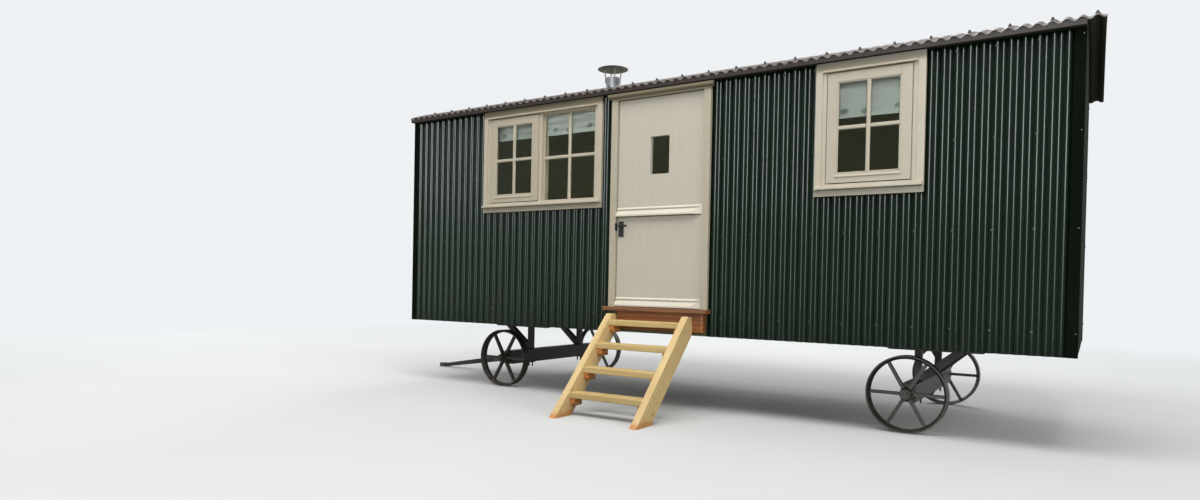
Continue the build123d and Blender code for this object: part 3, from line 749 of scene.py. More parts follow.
def sprig_mask(recipe, where):
    """Ragged leaves in a row along the piece's own UV map, which is in metres, each a little
    aside and above or below the next."""
    place = recipe.add("TexCoord")["UV"]
    along = recipe.calc("DIVIDE", recipe.share(place, "X"), SPRIG_SPACING)
    number = recipe.calc("FLOOR", along)
    chance = recipe.add("TexWhiteNoise", {"W": number}, noise_dimensions="1D")["Value"]
    centre = recipe.between(chance, 0.0, 1.0, 0.3, 0.7)
    height = recipe.between(chance, 0.0, 1.0, *SPRIG_HEIGHTS)
    aside = recipe.calc("SUBTRACT", recipe.calc("SUBTRACT", along, number), centre)
    across = recipe.times(aside, SPRIG_SPACING / SPRIG_SIZE[0])
    above = recipe.calc("SUBTRACT", recipe.share(place, "Y"), height)
    above = recipe.calc("DIVIDE", above, SPRIG_SIZE[1])
    reach = recipe.plus(recipe.times(across, across), recipe.times(above, above))
    ragged = recipe.times(recipe.noise(where, 130.0, 2.0), 1.6)
    return recipe.between(recipe.plus(recipe.calc("SQRT", reach), ragged), 1.35, 1.6, 0.85, 0.0)


def build_materials():
    """Colours are 0 to 255, the fresh one before the worn one, or light, dark and knot. Then come
    a sheet's shine, splashes and roughness, the run of the brush or grain and what differs."""
    green = ((12, 28, 17), (19, 38, 25))
    painted_sheet("green_sheet", *green, 0.12, 0.05, 0.13)
    painted_sheet("end_sheet", *green, 0.02, 0.05, 0.5)
    # A darker, greyer copy of the sheet's green on the corner trims: painted shade for flat faces
    # that catch no bright reflection
    painted_sheet("green_trim_painted_shade", (10, 16, 9), (16, 24, 14), 0.01, 0.04, 0.6)
    painted_sheet("brown_sheet", (94, 86, 82), (124, 116, 112), 0.09, 0.0, 0.45)
    # Darker than the roof's brown, on fascias and fillers: partly the trim's colour, partly painted
    # shade under the eaves
    painted_sheet("brown_trim_painted_shade", (56, 48, 45), (74, 66, 62), 0.12, 0.0, 0.45)
    painted_timber("cream_paint", (193, 182, 163), (176, 164, 142), ALONG_X, sill_algae_and_shade=0.55)
    # A darker copy of the cream for the recessed sashes and the door jambs, brushed upright: partly
    # painted shade
    painted_timber("cream_upright_painted_shade", (184, 174, 154), (168, 157, 134), ALONG_Z)
    painted_timber("stone_paint", (196, 188, 173), (185, 176, 159), ALONG_Z)
    # Lighter than the leaves' stone paint, on the weatherboards: partly painted light for the sky
    # on their sloped faces
    painted_timber("pale_paint_painted_light", (212, 204, 187), (198, 188, 168), ALONG_X)
    # Dark olive inside the hut: partly the lining's paint, partly painted shade of the dark inside
    # seen through the glass
    painted_timber("lining", (88, 86, 44), (72, 70, 36), ALONG_Z)
    pine = ((216, 189, 136), (203, 173, 119), (140, 96, 56))
    sawn = ((150, 118, 84), (104, 78, 52), (60, 40, 26))
    bare_timber("pine_stringer", *pine, UP_THE_STEPS, foot=0.8)
    bare_timber("new_pine", (207, 181, 124), (194, 165, 108), (134, 90, 50), ALONG_X)
    bare_timber("cedar_stain", (158, 94, 42), (122, 68, 28), (70, 38, 16), ALONG_X, 0.45)
    bare_timber("worn_cedar", (134, 88, 50), (106, 66, 36), (64, 40, 20), ALONG_X)
    bare_timber("cleat_timber", (216, 146, 82), (188, 116, 58), (120, 70, 36), ALONG_Y, 0.55)
    bare_timber("rough_timber", *sawn, ALONG_Y, 0.75)
    bare_timber("floor_boards", *sawn, ALONG_X, 0.5)
    iron("black_iron", (22, 22, 21), 0.25)
    iron("handle_iron", (20, 20, 21), 0.05)
    iron("screw_caps", (26, 38, 30), 0.0)
    iron("bolt_caps", (34, 32, 31), 0.05)
    iron("lead_grey", (104, 108, 112), 0.1)
    bright_metal("hinge_steel", (200, 190, 160), 0.35)
    bright_metal("stainless", (112, 114, 118), 0.6)
    bright_metal("dull_steel", (112, 108, 94), 0.65)
    window_glass("clear_glass")
    blind_weave("blind_cloth", sprigs=True)
    blind_weave("blind_hem", sprigs=False)


# Corrugated sheet
def sweep(centre, axis, angle, steps):
    """Carries the selected points or edges round an axis, right-handed; with no window the
    spin operator counts its angle the other way."""
    bpy.ops.mesh.spin(steps=steps, angle=-angle, center=centre, axis=axis)


def corrugated_line(start, end, crest):
    """Edge chain along X between two places, its round crests on y = 0 and its troughs
    one wave depth behind."""
    line = single_point()
    trough = (PITCH / 2, WAVE_DEPTH - ARC_RADIUS, 0)
    with editing(line):
        sweep((0, ARC_RADIUS, 0), (0, 0, 1), ARC_ANGLE, ARC_STEPS)
        sweep(trough, (0, 0, 1), -2 * ARC_ANGLE, 2 * ARC_STEPS)
        sweep((PITCH, ARC_RADIUS, 0), (0, 0, 1), ARC_ANGLE, ARC_STEPS)
    first = crest + math.floor((start - crest) / PITCH) * PITCH
    modify(
        line, "ARRAY", count=math.ceil((end - first) / PITCH) + 1, use_relative_offset=False,
        use_constant_offset=True, constant_offset_displace=(PITCH, 0, 0),
        use_merge_vertices=True, merge_threshold=0.00005,
    )
    apply_modifiers(line)
    settle(line, (first, 0, 0))
    saw(line, (start, 0, 0), (-1, 0, 0), close=False)
    saw(line, (end, 0, 0), (1, 0, 0), close=False)
    return line


def crests_up(line):
    """Turns a corrugated line so that its crests point up."""
    return settle(line, turn=(-QUARTER, 0, 0))


def sheet_spans(start, end, crest):
    """Start and end of each sheet in a run; neighbours lap over one crest."""
    cover = PITCHES_COVERED * PITCH
    lap = PITCH / 4
    edge = crest + math.floor((start - crest) / cover) * cover
    spans = []
    while edge < end - lap:
        spans.append((max(start, edge - lap), min(end, edge + cover + lap)))
        edge += cover
    return spans


def wall_panels(start, end, crest, top):
    """Upright sheets side by side, facing -Y with their crests on y = 0."""
    panels = []
    for number, (left, right) in enumerate(sheet_spans(start, end, crest)):
        panel = corrugated_line(left, right, crest)
        with editing(panel):
            extrude((0, 0, top - WALL_BOTTOM))
        settle(panel, (0, SHEET / 2 + LAP_STEP * (number % 2), WALL_BOTTOM))
        panels.append(tidy_faces(thicken(panel, SHEET)))
    return panels


def build_front_walls():
    """Left and right of the door, with the windows cut out."""
    low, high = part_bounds("front_cladding")
    runs = [
        ("left", low.x, JAMB_LOW.x + JAMB_LAP, HUT_LEFT + LEFT_CREST),
        ("right", JAMB_HIGH.x - JAMB_LAP, high.x, HUT_LEFT + RIGHT_CREST),
    ]
    for side, left, right, crest in runs:
        casing_low, casing_high = part_box("window_casings", left, right)
        hole_low = (casing_low.x + CASING_LAP, WALL_FRONT - WAVE_DEPTH, casing_low.z + CASING_LAP)
        hole_high = (
            casing_high.x - CASING_LAP, WALL_FRONT + 2 * WAVE_DEPTH, casing_high.z - CASING_LAP
        )
        panels = wall_panels(left, right, crest, WALL_TOP)
        for panel in panels:
            carve(settle(panel, (0, WALL_FRONT, 0)), slab(hole_low, hole_high))
        finish_piece(
            panels, "front_sheets_" + side, "green_sheet", replaces=["front_cladding"],
            angle=SHARP_SHEET,
        )


def build_rear_wall():
    low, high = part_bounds("rear_cladding")
    wall = join(wall_panels(-high.x, -low.x, -(HUT_LEFT + LEFT_CREST), WALL_TOP))
    settle(wall, (0, WALL_REAR, 0), (0, 0, math.pi))
    finish_piece(
        [wall], "rear_sheets", "green_sheet", replaces=["rear_cladding"], angle=SHARP_SHEET
    )


def build_end_walls():
    """Both ends, with their tops cut to the round of the roof."""
    low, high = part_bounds("end_cladding")
    crest = WALL_FRONT + END_CREST
    runs = [
        ("left", (-high.y, -low.y, -crest), low.x, -QUARTER),
        ("right", (low.y, high.y, crest), high.x, QUARTER),
    ]
    for side, run, x, turn in runs:
        panels = wall_panels(*run, high.z + WAVE_DEPTH)
        for panel in panels:
            settle(panel, (x, 0, 0), (0, 0, turn))
            vault = barrel(
                (low.x - 1, MIDDLE_Y, ROOF_AXIS_Z), (high.x + 1, MIDDLE_Y, ROOF_AXIS_Z),
                high.z - ROOF_AXIS_Z, VAULT_SIDES,
            )
            carve(panel, vault, "INTERSECT")
        finish_piece(
            panels, "end_sheets_" + side, "end_sheet", replaces=["end_cladding"],
            angle=SHARP_SHEET,
        )


def build_roof():
    """Curved sheets side by side, each bent from eave to eave about the vault's axis."""
    flue_low, flue_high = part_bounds("flue_pipe")
    flue = (flue_low + flue_high) / 2
    centre = (0, MIDDLE_Y, ROOF_AXIS_Z)
    crest = HUT_LEFT + ROOF_CREST
    spans = sheet_spans(ROOF_LOW.x + SHEET, ROOF_HIGH.x - SHEET, crest)
    panels = []
    for number, (left, right) in enumerate(spans):
        panel = crests_up(corrugated_line(left, right, crest))
        settle(panel, (0, 0, ROOF_RADIUS - SHEET / 2 - LAP_STEP * (number % 2)))
        settle(panel, centre, (EAVE_SLOPE, 0, 0))
        with editing(panel):
            sweep(centre, (1, 0, 0), -2 * EAVE_SLOPE, ROOF_STEPS)
        tidy_faces(thicken(panel, SHEET))
        if left < flue_high.x and right > flue_low.x:
            radius = (flue_high.x - flue_low.x) / 2 + FLUE_CLEAR
            foot, top = (flue.x, flue.y, ROOF_LOW.z), (flue.x, flue.y, flue_high.z)
            carve(panel, barrel(foot, top, radius, FLUE_SIDES))
        panels.append(panel)
    finish_piece(
        panels, "roof_sheets", "brown_sheet", replaces=["roof_sheet"], angle=SHARP_SHEET
    )


def build_eaves_fillers():
    """Closes the hollows under the roof sheet's crests, above each fascia."""
    low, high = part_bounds("eaves_fascias")
    out = MIDDLE_Y - low.y
    under = ROOF_RADIUS - SHEET - 2 * LAP_STEP
    crest_z = ROOF_AXIS_Z + math.sqrt(under**2 - out**2)
    trough_z = ROOF_AXIS_Z + math.sqrt((under - WAVE_DEPTH) ** 2 - out**2)
    line = crests_up(corrugated_line(low.x, high.x, HUT_LEFT + ROOF_CREST))
    line.scale = (1, 1, (crest_z - trough_z) / WAVE_DEPTH)
    settle(line, (0, low.y + FILLER / 2, crest_z))
    with editing(line):
        extrude((0, 0, high.z - crest_z - WAVE_DEPTH))
        bpy.ops.transform.resize(
            value=(1, 1, 0), center_override=(0, low.y + FILLER / 2, high.z)
        )
    mirror = Matrix.Translation((0, 2 * MIDDLE_Y, 0)) @ Matrix.Diagonal((1, -1, 1, 1))
    both = copies(thicken(line, FILLER), [Matrix.Identity(4), mirror])
    fillers = [tidy_faces(filler) for filler in both]
    finish_piece(fillers, "eaves_fillers", "brown_trim_painted_shade", angle=SHARP_SHEET)


# Windows
class Window:
    """One window's places, read from the frame."""

    def __init__(self, side, start, end):
        self.side = side
        self.low, self.high = part_box("window_casings", start, end)
        self.sash_low, self.sash_high = part_box("window_sashes", start, end)
        self.left, self.right = self.low.x + REVEAL, self.high.x - REVEAL
        self.foot, self.head = self.low.z + REVEAL, self.high.z - REVEAL
        middle = (self.low.x + self.high.x) / 2
        self.mullion = (middle - MULLION / 2, middle + MULLION / 2)
        self.has_fixed_light = self.sash_high.x < middle


def build_windows():
    windows = [Window("left", HUT_LEFT, JAMB_LOW.x), Window("right", JAMB_HIGH.x, HUT_RIGHT)]
    for window in windows:
        build_casing(window)
        build_window_frame(window)
        build_sash(window)
        if window.has_fixed_light:
            build_fixed_light(window)
    for window in windows:
        build_blinds(window)


def build_casing(window):
    """Mitred boards over the sheet's edge."""
    low, high = window.low, window.high
    outer = ((low.x, low.z), (high.x, high.z))
    inner = (
        (low.x + ARCHITRAVE, low.z + CASING_FOOT), (high.x - ARCHITRAVE, high.z - ARCHITRAVE)
    )
    finish_piece(
        mitred_boards(outer, inner, low.y, WALL_FRONT), "casing_boards_" + window.side,
        "cream_paint", replaces=["window_casings"],
    )


def build_window_frame(window):
    """Rebated frame through the wall, with the linings that show inside the casing."""
    low, high = window.low, window.high
    face, back = low.y + LINING_SET, window.sash_high.y
    foot, head = low.z + CASING_FOOT, high.z - CASING_HEAD

    # Section of a member: places across it, counted from the casing's edge, and depths
    section = [
        (ARCHITRAVE, back), (REVEAL, back), (REVEAL, high.y), (CASING_LAP, high.y),
        (CASING_LAP, WALL_FRONT), (ARCHITRAVE, WALL_FRONT),
    ]
    pieces = []
    for edge, inward in ((low.x, 1), (high.x, -1)):
        outline = [(edge + inward * across, depth) for across, depth in section]
        pieces.append(moulding(outline, window.foot, window.head, upright=True))
    for edge, inward in ((low.z, 1), (high.z, -1)):
        outline = [(depth, edge + inward * across) for across, depth in section]
        pieces.append(moulding(outline, low.x + CASING_LAP, high.x - CASING_LAP))
    sill_front, sash_foot = low.y + SILL_SET, window.sash_low.z
    sill = [
        (back, foot), (sill_front, foot), (sill_front, sash_foot - SILL_FALL),
        (back, sash_foot - SASH_GAP),
    ]
    pieces += [
        moulding(sill, low.x + CASING_FACE, high.x - CASING_FACE),
        slab((low.x + ARCHITRAVE, low.y, head), (high.x - ARCHITRAVE, back, high.z - ARCHITRAVE)),
        slab((low.x + ARCHITRAVE, face, foot), (low.x + CASING_FACE, back, head)),
        slab((high.x - CASING_FACE, face, foot), (high.x - ARCHITRAVE, back, head)),
    ]
    if window.has_fixed_light:
        start, end = window.mullion
        pieces += [
            slab((start, back, window.foot), (end, high.y, window.head)),
            slab((window.sash_high.x + SASH_GAP, face, foot), (end, back, head)),
        ]
    finish_piece(
        [ease(piece, FRAME_EDGE) for piece in pieces], "window_frame_" + window.side,
        "cream_paint", replaces=["window_casings"],
    )


def glazing(left, right, foot, head):
    """Beads round a light and its cross of bars."""
    glass_low, glass_high = part_box("window_glass", left - BEAD, right + BEAD)
    front, back = glass_low.y - BAR_PROUD, glass_high.y + BAR_PROUD
    beads = mitred_boards(
        ((left, foot), (right, head)),
        ((left + BEAD, foot + BEAD), (right - BEAD, head - BEAD)),
        front + BEAD_SET, glass_low.y,
    )
    x, z, half = (left + right) / 2, (foot + head) / 2, BAR / 2
    bars = [
        slab((x - half, front, foot), (x + half, back, head)),
        slab((left, front + CROSS_BAR_SET, z - half), (x - half, back, z + half)),
        slab((x + half, front + CROSS_BAR_SET, z - half), (right, back, z + half)),
    ]
    return beads + [ease(bar, BAR_EDGE, segments=3) for bar in bars]


def water_bead(left, right, top, face):
    """Sloped moulding that sheds water along the foot of a light."""
    outline = [
        (face, top), (face - 0.006, top - 0.010), (face - 0.006, top - 0.016),
        (face - 0.002, top - 0.019), (face, top - 0.019),
    ]
    return ease(moulding(outline, left, right), FINE_EDGE)


def build_sash(window):
    """Opening sash: stiles and rails, beads, bars and the bead along its foot."""
    low, high = window.sash_low, window.sash_high
    foot, head = low.z + RAIL, high.z - RAIL
    left, right = low.x + STILE, high.x - STILE
    members = [
        slab(low, (left, high.y, high.z)),
        slab((right, low.y, low.z), high),
        slab((left, low.y, low.z), (right, high.y, foot)),
        slab((left, low.y, head), (right, high.y, high.z)),
    ]
    pieces = [ease(member, SASH_EDGE) for member in members]
    pieces += glazing(left, right, foot, head)
    pieces.append(water_bead(left - BEAD, right + BEAD, foot - WATER_BEAD_DROP, low.y))
    finish_piece(pieces, "sash_" + window.side, "cream_upright_painted_shade", replaces=["window_sashes"])


def build_fixed_light(window):
    left, right = window.mullion[1], window.right
    pieces = glazing(left, right, window.foot, window.head)
    pieces.append(water_bead(left, right, window.foot, window.sash_high.y))
    finish_piece(pieces, "fixed_light_bars", "cream_paint")


def build_blinds(window):
    """A raised roman blind in each light, with its folds and a hem bar."""
    lights = [(window.left, window.right)]
    if window.has_fixed_light:
        lights = [(window.left, window.mullion[0]), (window.mullion[1], window.right)]
    for number, (left, right) in enumerate(lights, 1):
        low, high = part_box("window_blinds", left, right)
        build_blind("%s_%d" % (window.side, number), low, high)


def build_blind(name, low, high):
    middle = (low + high) / 2
    width, drop = high.x - low.x, high.z - low.z
    clear_selection()
    bpy.ops.mesh.primitive_grid_add(
        x_subdivisions=BLIND_COLUMNS, y_subdivisions=BLIND_ROWS, size=1, location=middle,
        rotation=(QUARTER, 0, 0),
    )
    cloth = bpy.context.object
    cloth.scale = (width, drop, 1)
    settle(cloth)
    for corner in cloth.data.uv_layers.active.data:
        corner.uv = (corner.uv.x * width, corner.uv.y * drop)

    def belly(hang, share=0.0):
        """How far the cloth stands out, from how many folds down and what share across."""
        uneven = 0.8 + 0.2 * math.cos(7 * share + hang)
        return BLIND_BELLY * math.sin(math.pi * hang) ** 2 * uneven

    for point in cloth.data.vertices:
        hang = (high.z - point.co.z) * BLIND_FOLDS / drop
        point.co.y += BLIND_BELLY / 2 - belly(hang, (point.co.x - low.x) / width)
    finish_piece(
        [thicken(cloth, BLIND_CLOTH)], "blind_" + name, "blind_cloth", replaces=["window_blinds"],
        angle=SHARP_CLOTH,
    )
    hem = slab((low.x, middle.y - HEM_FRONT, low.z), (high.x, middle.y + HEM_BACK, low.z + HEM))
    finish_piece([ease(hem, FINE_EDGE)], "blind_hem_" + name, "blind_hem", angle=SHARP_CLOTH)


# Door
def build_door():
    left = JAMB_LOW.x + JAMB_FACE + DOOR_GAP
    right = JAMB_HIGH.x - JAMB_FACE - DOOR_GAP
    face = JAMB_LOW.y + DOOR_RECESS
    for body in ("upper_door", "lower_door"):
        low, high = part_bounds(body)
        leaf = boarded_leaf((left, face, low.z), (right, high.y, high.z))
        if body == "upper_door":
            pane_low, pane_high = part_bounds("door_glass")
            light = slab((pane_low.x, face - 1, pane_low.z), (pane_high.x, face + 1, pane_high.z))
            carve(leaf, light)
        ease(leaf, LEAF_EDGE, angle=SHARP_LEAF)
        finish_piece([leaf], body + "_leaf", "stone_paint", body=body, replaces=[body])
        board = weatherboard(left, right - DOOR_GAP, face, low.z)
        finish_piece([board], body + "_weatherboard", "pale_paint_painted_light", body=body)
    split = (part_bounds("lower_door")[1].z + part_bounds("upper_door")[0].z) / 2
    hinges = [
        ("lower_door", JAMB_LOW.z + HINGE_ABOVE_SILL, "hinge_steel"),
        ("lower_door", split - HINGE_BELOW_SPLIT - HINGE_LENGTH, "hinge_steel"),
        ("upper_door", split + HINGE_ABOVE_SPLIT, "hinge_steel"),
        ("upper_door", JAMB_HIGH.z - HINGE_BELOW_HEAD - HINGE_LENGTH, "cream_paint"),
    ]
    for number, (body, foot, finish) in enumerate(hinges, 1):
        build_hinge("hinge_%d" % number, body, foot, right, face, finish)
    build_latch(left, face, split)


def boarded_leaf(low, high):
    """A leaf of matched boards with shallow V joints."""
    leaf = slab(low, high)
    joint = low[0] + BOARD_WIDTH
    near = 0.0002
    while joint < high[0] - GROOVE_WIDTH:
        with editing(leaf):
            for step in (-0.5, 0, 0.5):
                bpy.ops.mesh.select_all(action="SELECT")
                cut = (joint + step * GROOVE_WIDTH, 0, 0)
                bpy.ops.mesh.bisect(plane_co=cut, plane_no=(1, 0, 0))
        with editing(leaf, lambda co: abs(co.x - joint) < near and abs(co.y - low[1]) < near):
            bpy.ops.transform.translate(value=(0, GROOVE_DEPTH, 0))
        joint += BOARD_WIDTH
    return leaf


def weatherboard(left, right, face, foot):
    """Moulded board that throws water off a leaf's foot, splayed at the hinge end."""
    front = face - WEATHER_PROUD
    outline = [
        (face, foot), (front + 0.012, foot), (front + 0.010, foot + 0.003), (front + 0.006, foot),
        (front, foot), (front, foot + 0.013), (face - 0.010, foot + 0.045),
        (face - 0.006, foot + 0.046), (face - 0.006, foot + 0.055), (face - 0.013, foot + 0.056),
        (face - 0.013, foot + 0.062), (face, foot + 0.074),
    ]
    board = moulding(outline, left, right)
    saw(board, (right, face, foot), (WEATHER_PROUD, -WEATHER_END, 0))
    return ease(board, 0.0008)


def build_hinge(name, body, foot, right, face, finish):
    """Butt hinge: knuckle in five lengths with a pin through it, and a plate."""
    x, y = right + DOOR_GAP / 2, face - KNUCKLE
    head = foot + HINGE_LENGTH

    def upright(start, end, radius, sides, edge, end_radius=None):
        return ease(barrel((x, y, start), (x, y, end), radius, sides, end_radius), edge)

    length = HINGE_LENGTH / KNUCKLES
    pieces = []
    for number in range(KNUCKLES):
        start = foot + number * length + KNUCKLE_CLEAR
        end = start + length - 2 * KNUCKLE_CLEAR
        pieces.append(upright(start, end, KNUCKLE, 20, 0.0006))
    plate = slab(
        (x - 0.002, face - KNUCKLE / 2, foot + 0.001), (x - 0.0005, face + 0.036, head - 0.001)
    )
    pieces.append(ease(plate, 0.0003))
    finish_piece(pieces, name, finish, body=body)
    pin = [
        upright(foot - 0.007, foot + KNUCKLE_CLEAR, 0.0042, 16, FINE_EDGE, 0.0052),
        upright(head - KNUCKLE_CLEAR, head + 0.004, 0.0050, 16, FINE_EDGE, 0.0036),
    ]
    finish_piece(pin, name + "_pin", "handle_iron", body=body)


def build_latch(left, face, split):
    """Screws, rose and keyhole of the handle, and the keep on the jamb."""
    low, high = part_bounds("door_handle")
    front = face - HANDLE_PLATE
    x = low.x + HANDLE_MIDDLE

    def stud(z, height, radius, sides, end_radius=None):
        return barrel((x, front, z), (x, front - height, z), radius, sides, end_radius)

    parts = [ease(stud(high.z - ROSE_BELOW_TOP, 0.004, 0.0125, 24, 0.0105), FINE_EDGE)]
    for z in (low.z + HANDLE_SCREW_IN, high.z - HANDLE_SCREW_IN):
        parts.append(ease(stud(z, 0.0018, 0.0042, 16, 0.0026), 0.0005))
    keyhole = low.z + KEYHOLE_ABOVE_FOOT
    slot = slab(
        (x - 0.0016, front - 1, keyhole - 0.005), (x + 0.0016, front - 0.0005, keyhole + 0.004)
    )
    parts.append(ease(carve(stud(keyhole, 0.002, 0.008, 24), slot), 0.0004))
    finish_piece(parts, "handle_fittings", "handle_iron", body="lower_door")
    jamb = left - DOOR_GAP
    jamb_front = face - DOOR_RECESS
    plate_front = jamb_front - KEEP_PLATE
    bottom, top = (split - below for below in KEEP_BELOW_SPLIT)
    outline = [
        (jamb - 0.005, plate_front), (jamb + 0.0012, plate_front), (jamb + 0.0012, face + 0.020),
        (jamb, face + 0.020), (jamb, jamb_front), (jamb - 0.005, jamb_front),
    ]
    keep = ease(moulding(outline, bottom, top, upright=True), 0.0004)
    finish_piece([keep], "latch_keep", "handle_iron")


# Fixings
def screw_model():
    """Sealing washer and hexagon head, standing on the XY plane."""
    washer = barrel((0, 0, -0.0004), (0, 0, 0.0016), 0.0088, 14, 0.0080)
    head = barrel((0, 0, 0.0016), (0, 0, 0.0062), 0.0050, 6)
    return join([washer, ease(head, 0.0007, 1)])


def bolt_model():
    """Roof bolt under its domed cap, standing on the XY plane."""
    cap = barrel((0, 0, 0), (0, 0, 0.0165), 0.0110, 12, 0.0050)
    skirt = barrel((0, 0, -0.001), (0, 0, 0.003), 0.0145, 12, 0.0125)
    return join([ease(cap, 0.003), skirt])


def wall_screws(start, end, crest, steps, blocked=()):
    """Places of a wall's screws on its crests, along it and up it, clear of the windows."""
    return [
        (along, z)
        for along in (crest + step * PITCH for step in steps)
        for z in SCREW_ROWS
        if start < along < end
        and not any(low.x < along < high.x and low.z < z < high.z for low, high in blocked)
    ]


def build_wall_screws():
    casings = [
        part_box("window_casings", HUT_LEFT, JAMB_LOW.x),
        part_box("window_casings", JAMB_HIGH.x, HUT_RIGHT),
    ]
    left_crest, right_crest = HUT_LEFT + LEFT_CREST, HUT_LEFT + RIGHT_CREST
    front = wall_screws(HUT_LEFT, JAMB_LOW.x, left_crest, LEFT_SCREWS, casings)
    front += wall_screws(JAMB_HIGH.x, HUT_RIGHT, right_crest, RIGHT_SCREWS, casings)
    places = [placed((x, WALL_FRONT, z), QUARTER, "X") for x, z in front]
    for x, z in wall_screws(HUT_LEFT, HUT_RIGHT, left_crest, REAR_SCREWS):
        places.append(placed((x, WALL_REAR, z), -QUARTER, "X"))
    low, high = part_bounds("end_cladding")
    for y, z in wall_screws(WALL_FRONT, high.y, WALL_FRONT + END_CREST, END_SCREWS):
        places.append(placed((low.x, y, z), -QUARTER, "Y"))
        places.append(placed((high.x, y, z), QUARTER, "Y"))
    finish_piece(copies(screw_model(), places), "wall_screws", "screw_caps")


def build_roof_bolts():
    """Rows of capped bolts on every third crest, from eave to eave, clear of the flue."""
    low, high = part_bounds("flue_boot")
    places = []
    for step in range(2, int((ROOF_HIGH.x - ROOF_LOW.x) / PITCH), 3):
        x = HUT_LEFT + ROOF_CREST + step * PITCH
        for share in BOLT_ROWS:
            lean = share * EAVE_SLOPE
            y = MIDDLE_Y + ROOF_RADIUS * math.sin(lean)
            z = ROOF_AXIS_Z + ROOF_RADIUS * math.cos(lean)
            beside = low.x - BOOT_CLEAR < x < high.x + BOOT_CLEAR
            if not (beside and low.y - BOOT_CLEAR < y < high.y + BOOT_CLEAR):
                places.append(placed((x, y, z), -lean, "X"))
    finish_piece(copies(bolt_model(), places), "roof_bolts", "bolt_caps")


# Stage
def build_stage():
    """Pale floor and pale surroundings."""
    clear_selection()
    bpy.ops.mesh.primitive_plane_add(size=FLOOR_SIZE, location=(0, 0, 0))
    floor = bpy.context.object
    floor.name = "floor_plane"
    recipe, where = new_material("pale_floor", Roughness=0.9)
    pale = recipe.mix(recipe.noise(where, 0.6), paint(200, 201, 199), paint(207, 208, 206))
    seen = seen_directly(recipe)
    recipe.surface(recipe.mix(seen, paint(128, 130, 120), pale))
    distance = recipe.add("VectorMath", {0: where}, operation="LENGTH")["Value"]
    far = recipe.times(recipe.between(distance, *FLOOR_FADE), seen)
    horizon = recipe.add("Emission", {"Color": BACKGROUND, "Strength": 1.0})[0]
    recipe.blend_shaders(far, "Principled BSDF", horizon, "Material Output")
    floor.data.materials.append(finishes["pale_floor"])
    world = bpy.data.worlds.new("surroundings")
    bpy.context.scene.world = world
    world.use_nodes = True
    recipe = Recipe(world.node_tree)
    light = world.node_tree.nodes["Background"]
    recipe.fill(light, {"Color": (0.93, 0.96, 1.0, 1.0), "Strength": 0.42})
    backdrop = recipe.add("Background", {"Color": BACKGROUND, "Strength": 1.0})[0]
    recipe.blend_shaders(seen_directly(recipe), "Background", backdrop, "World Output")


def seen_directly(recipe):
    """1 for rays that show a surface itself, its mirror image or what lies behind glass."""
    rays = recipe.add("LightPath")
    mirrored = recipe.calc("MAXIMUM", rays["Is Glossy Ray"], rays["Is Transmission Ray"])
    return recipe.calc("MAXIMUM", rays["Is Camera Ray"], mirrored)


def build_lights():
    """Soft panels; some light all but the gloss of surfaces, and the gleams only the gloss."""
    white = (1.0, 1.0, 1.0)
    panels = [
        ("sky_panel", (0.6, -4.8, 9.8), (0.3, -0.4, 1.4), (10.0, 5.0), 860.0, white, "all"),
        ("front_panel", (4.2, -14.2, 5.2), (0.4, -0.7, 1.6), (6.0, 4.5), 250.0, white, "matt"),
        ("back_panel", (-2.0, 10.0, 7.0), (0.3, 0.4, 1.4), (10.0, 6.0), 700.0, white, "all"),
        ("left_panel", (-12.0, 1.0, 5.5), (-2.5, 0.4, 1.6), (6.0, 5.0), 420.0, white, "all"),
        ("right_panel", (12.5, -2.5, 5.0), (2.2, -0.2, 1.3), (6.0, 5.0), 520.0, white, "matt"),
        ("high_gleam", (4.2, -14.3, 5.2), (0.4, -0.7, 4.0), (5.0, 4.5), 2800.0,
         (0.92, 0.98, 1.0), "gloss"),
        ("low_gleam", (4.2, -14.3, 1.5), (0.4, -0.7, 0.3), (5.0, 2.8), 640.0,
         (0.82, 1.0, 0.84), "gloss"),
    ]
    for name, place, target, size, watts, colour, lit in panels:
        data = bpy.data.lights.new(name, "AREA")
        data.shape = "RECTANGLE"
        data.size, data.size_y = size
        data.energy = watts
        data.color = colour
        lamp = bpy.data.objects.new(name, data)
        bpy.context.collection.objects.link(lamp)
        lamp.location = place
        aim = Vector(target) - Vector(place)
        lamp.rotation_euler = aim.to_track_quat("-Z", "Y").to_euler()
        lamp.visible_glossy = lit != "matt"
        lamp.visible_diffuse = lit != "gloss"


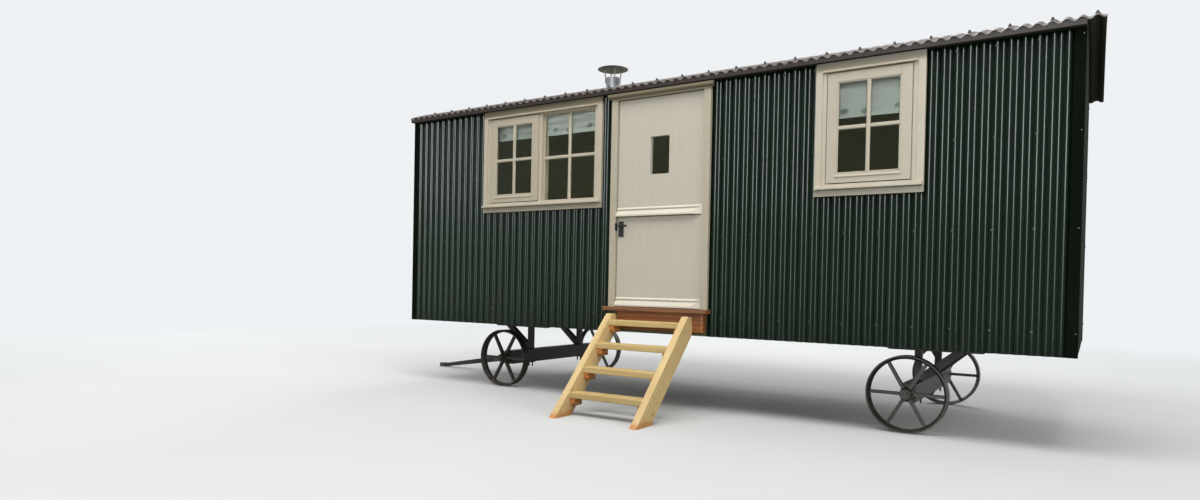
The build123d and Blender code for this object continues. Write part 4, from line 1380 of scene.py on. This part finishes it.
def dress_frame():
    """Finishes of the construction pieces that stay in view, and how far their edges are eased."""
    dressed = [
        ("green_trim_painted_shade", 0, ["corner_trims"]),
        ("brown_trim_painted_shade", 0, ["eaves_fascias"]),
        ("floor_boards", 0, ["floor"]),
        ("rough_timber", 0, ["floor_joists"]),
        ("lining", 0, ["front_wall_piers", "front_wall_infills", "rear_wall", "end_walls",
                       "roof_deck"]),
        ("clear_glass", 0, ["window_glass", "door_glass"]),
        ("stainless", 0, ["flue_pipe"]),
        ("dull_steel", 0, ["flue_cowl"]),
        ("lead_grey", 0, ["flue_boot"]),
        ("black_iron", 0, ["axle_collars", "axles", "axle_clamps", "drawbar_hinges",
                           "drawbar_pole", "wheel_front_near", "wheel_front_far",
                           "wheel_rear_near", "wheel_rear_far"]),
        ("black_iron", BOARD_EDGE, ["axle_stands", "drawbar_legs"]),
        ("black_iron", BEAM_EDGE, ["chassis_rails", "chassis_cross_members"]),
        ("handle_iron", FINE_EDGE, ["door_handle"]),
        ("cream_paint", BOARD_EDGE, ["window_sills", "window_drips", "door_head"]),
        ("cream_upright_painted_shade", BOARD_EDGE, ["door_jambs"]),
        ("worn_cedar", BOARD_EDGE, ["threshold"]),
        ("cedar_stain", BEAM_EDGE, ["apron"]),
        ("pine_stringer", BEAM_EDGE, ["step_stringers"]),
        ("new_pine", BEAM_EDGE, ["step_treads"]),
        ("cleat_timber", BEAM_EDGE, ["step_cleats"]),
    ]
    for finish, edge, nodes in dressed:
        for node in nodes:
            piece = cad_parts[node]
            piece.data.materials.clear()
            piece.data.materials.append(finishes[finish])
            if edge:
                modify(piece, "WELD", merge_threshold=0.00001)
                add_bevel(piece, edge)
                modify(piece, "WEIGHTED_NORMAL", weight=100)


bpy.context.scene.view_settings.view_transform = "Standard"
build_camera()
build_weathering()
build_timber_grain()
build_brush_marks()
build_dust()
build_materials()
dress_frame()
build_front_walls()
build_rear_wall()
build_end_walls()
build_roof()
build_eaves_fillers()
build_windows()
build_door()
build_wall_screws()
build_roof_bolts()
build_stage()
build_lights()
clear_selection()
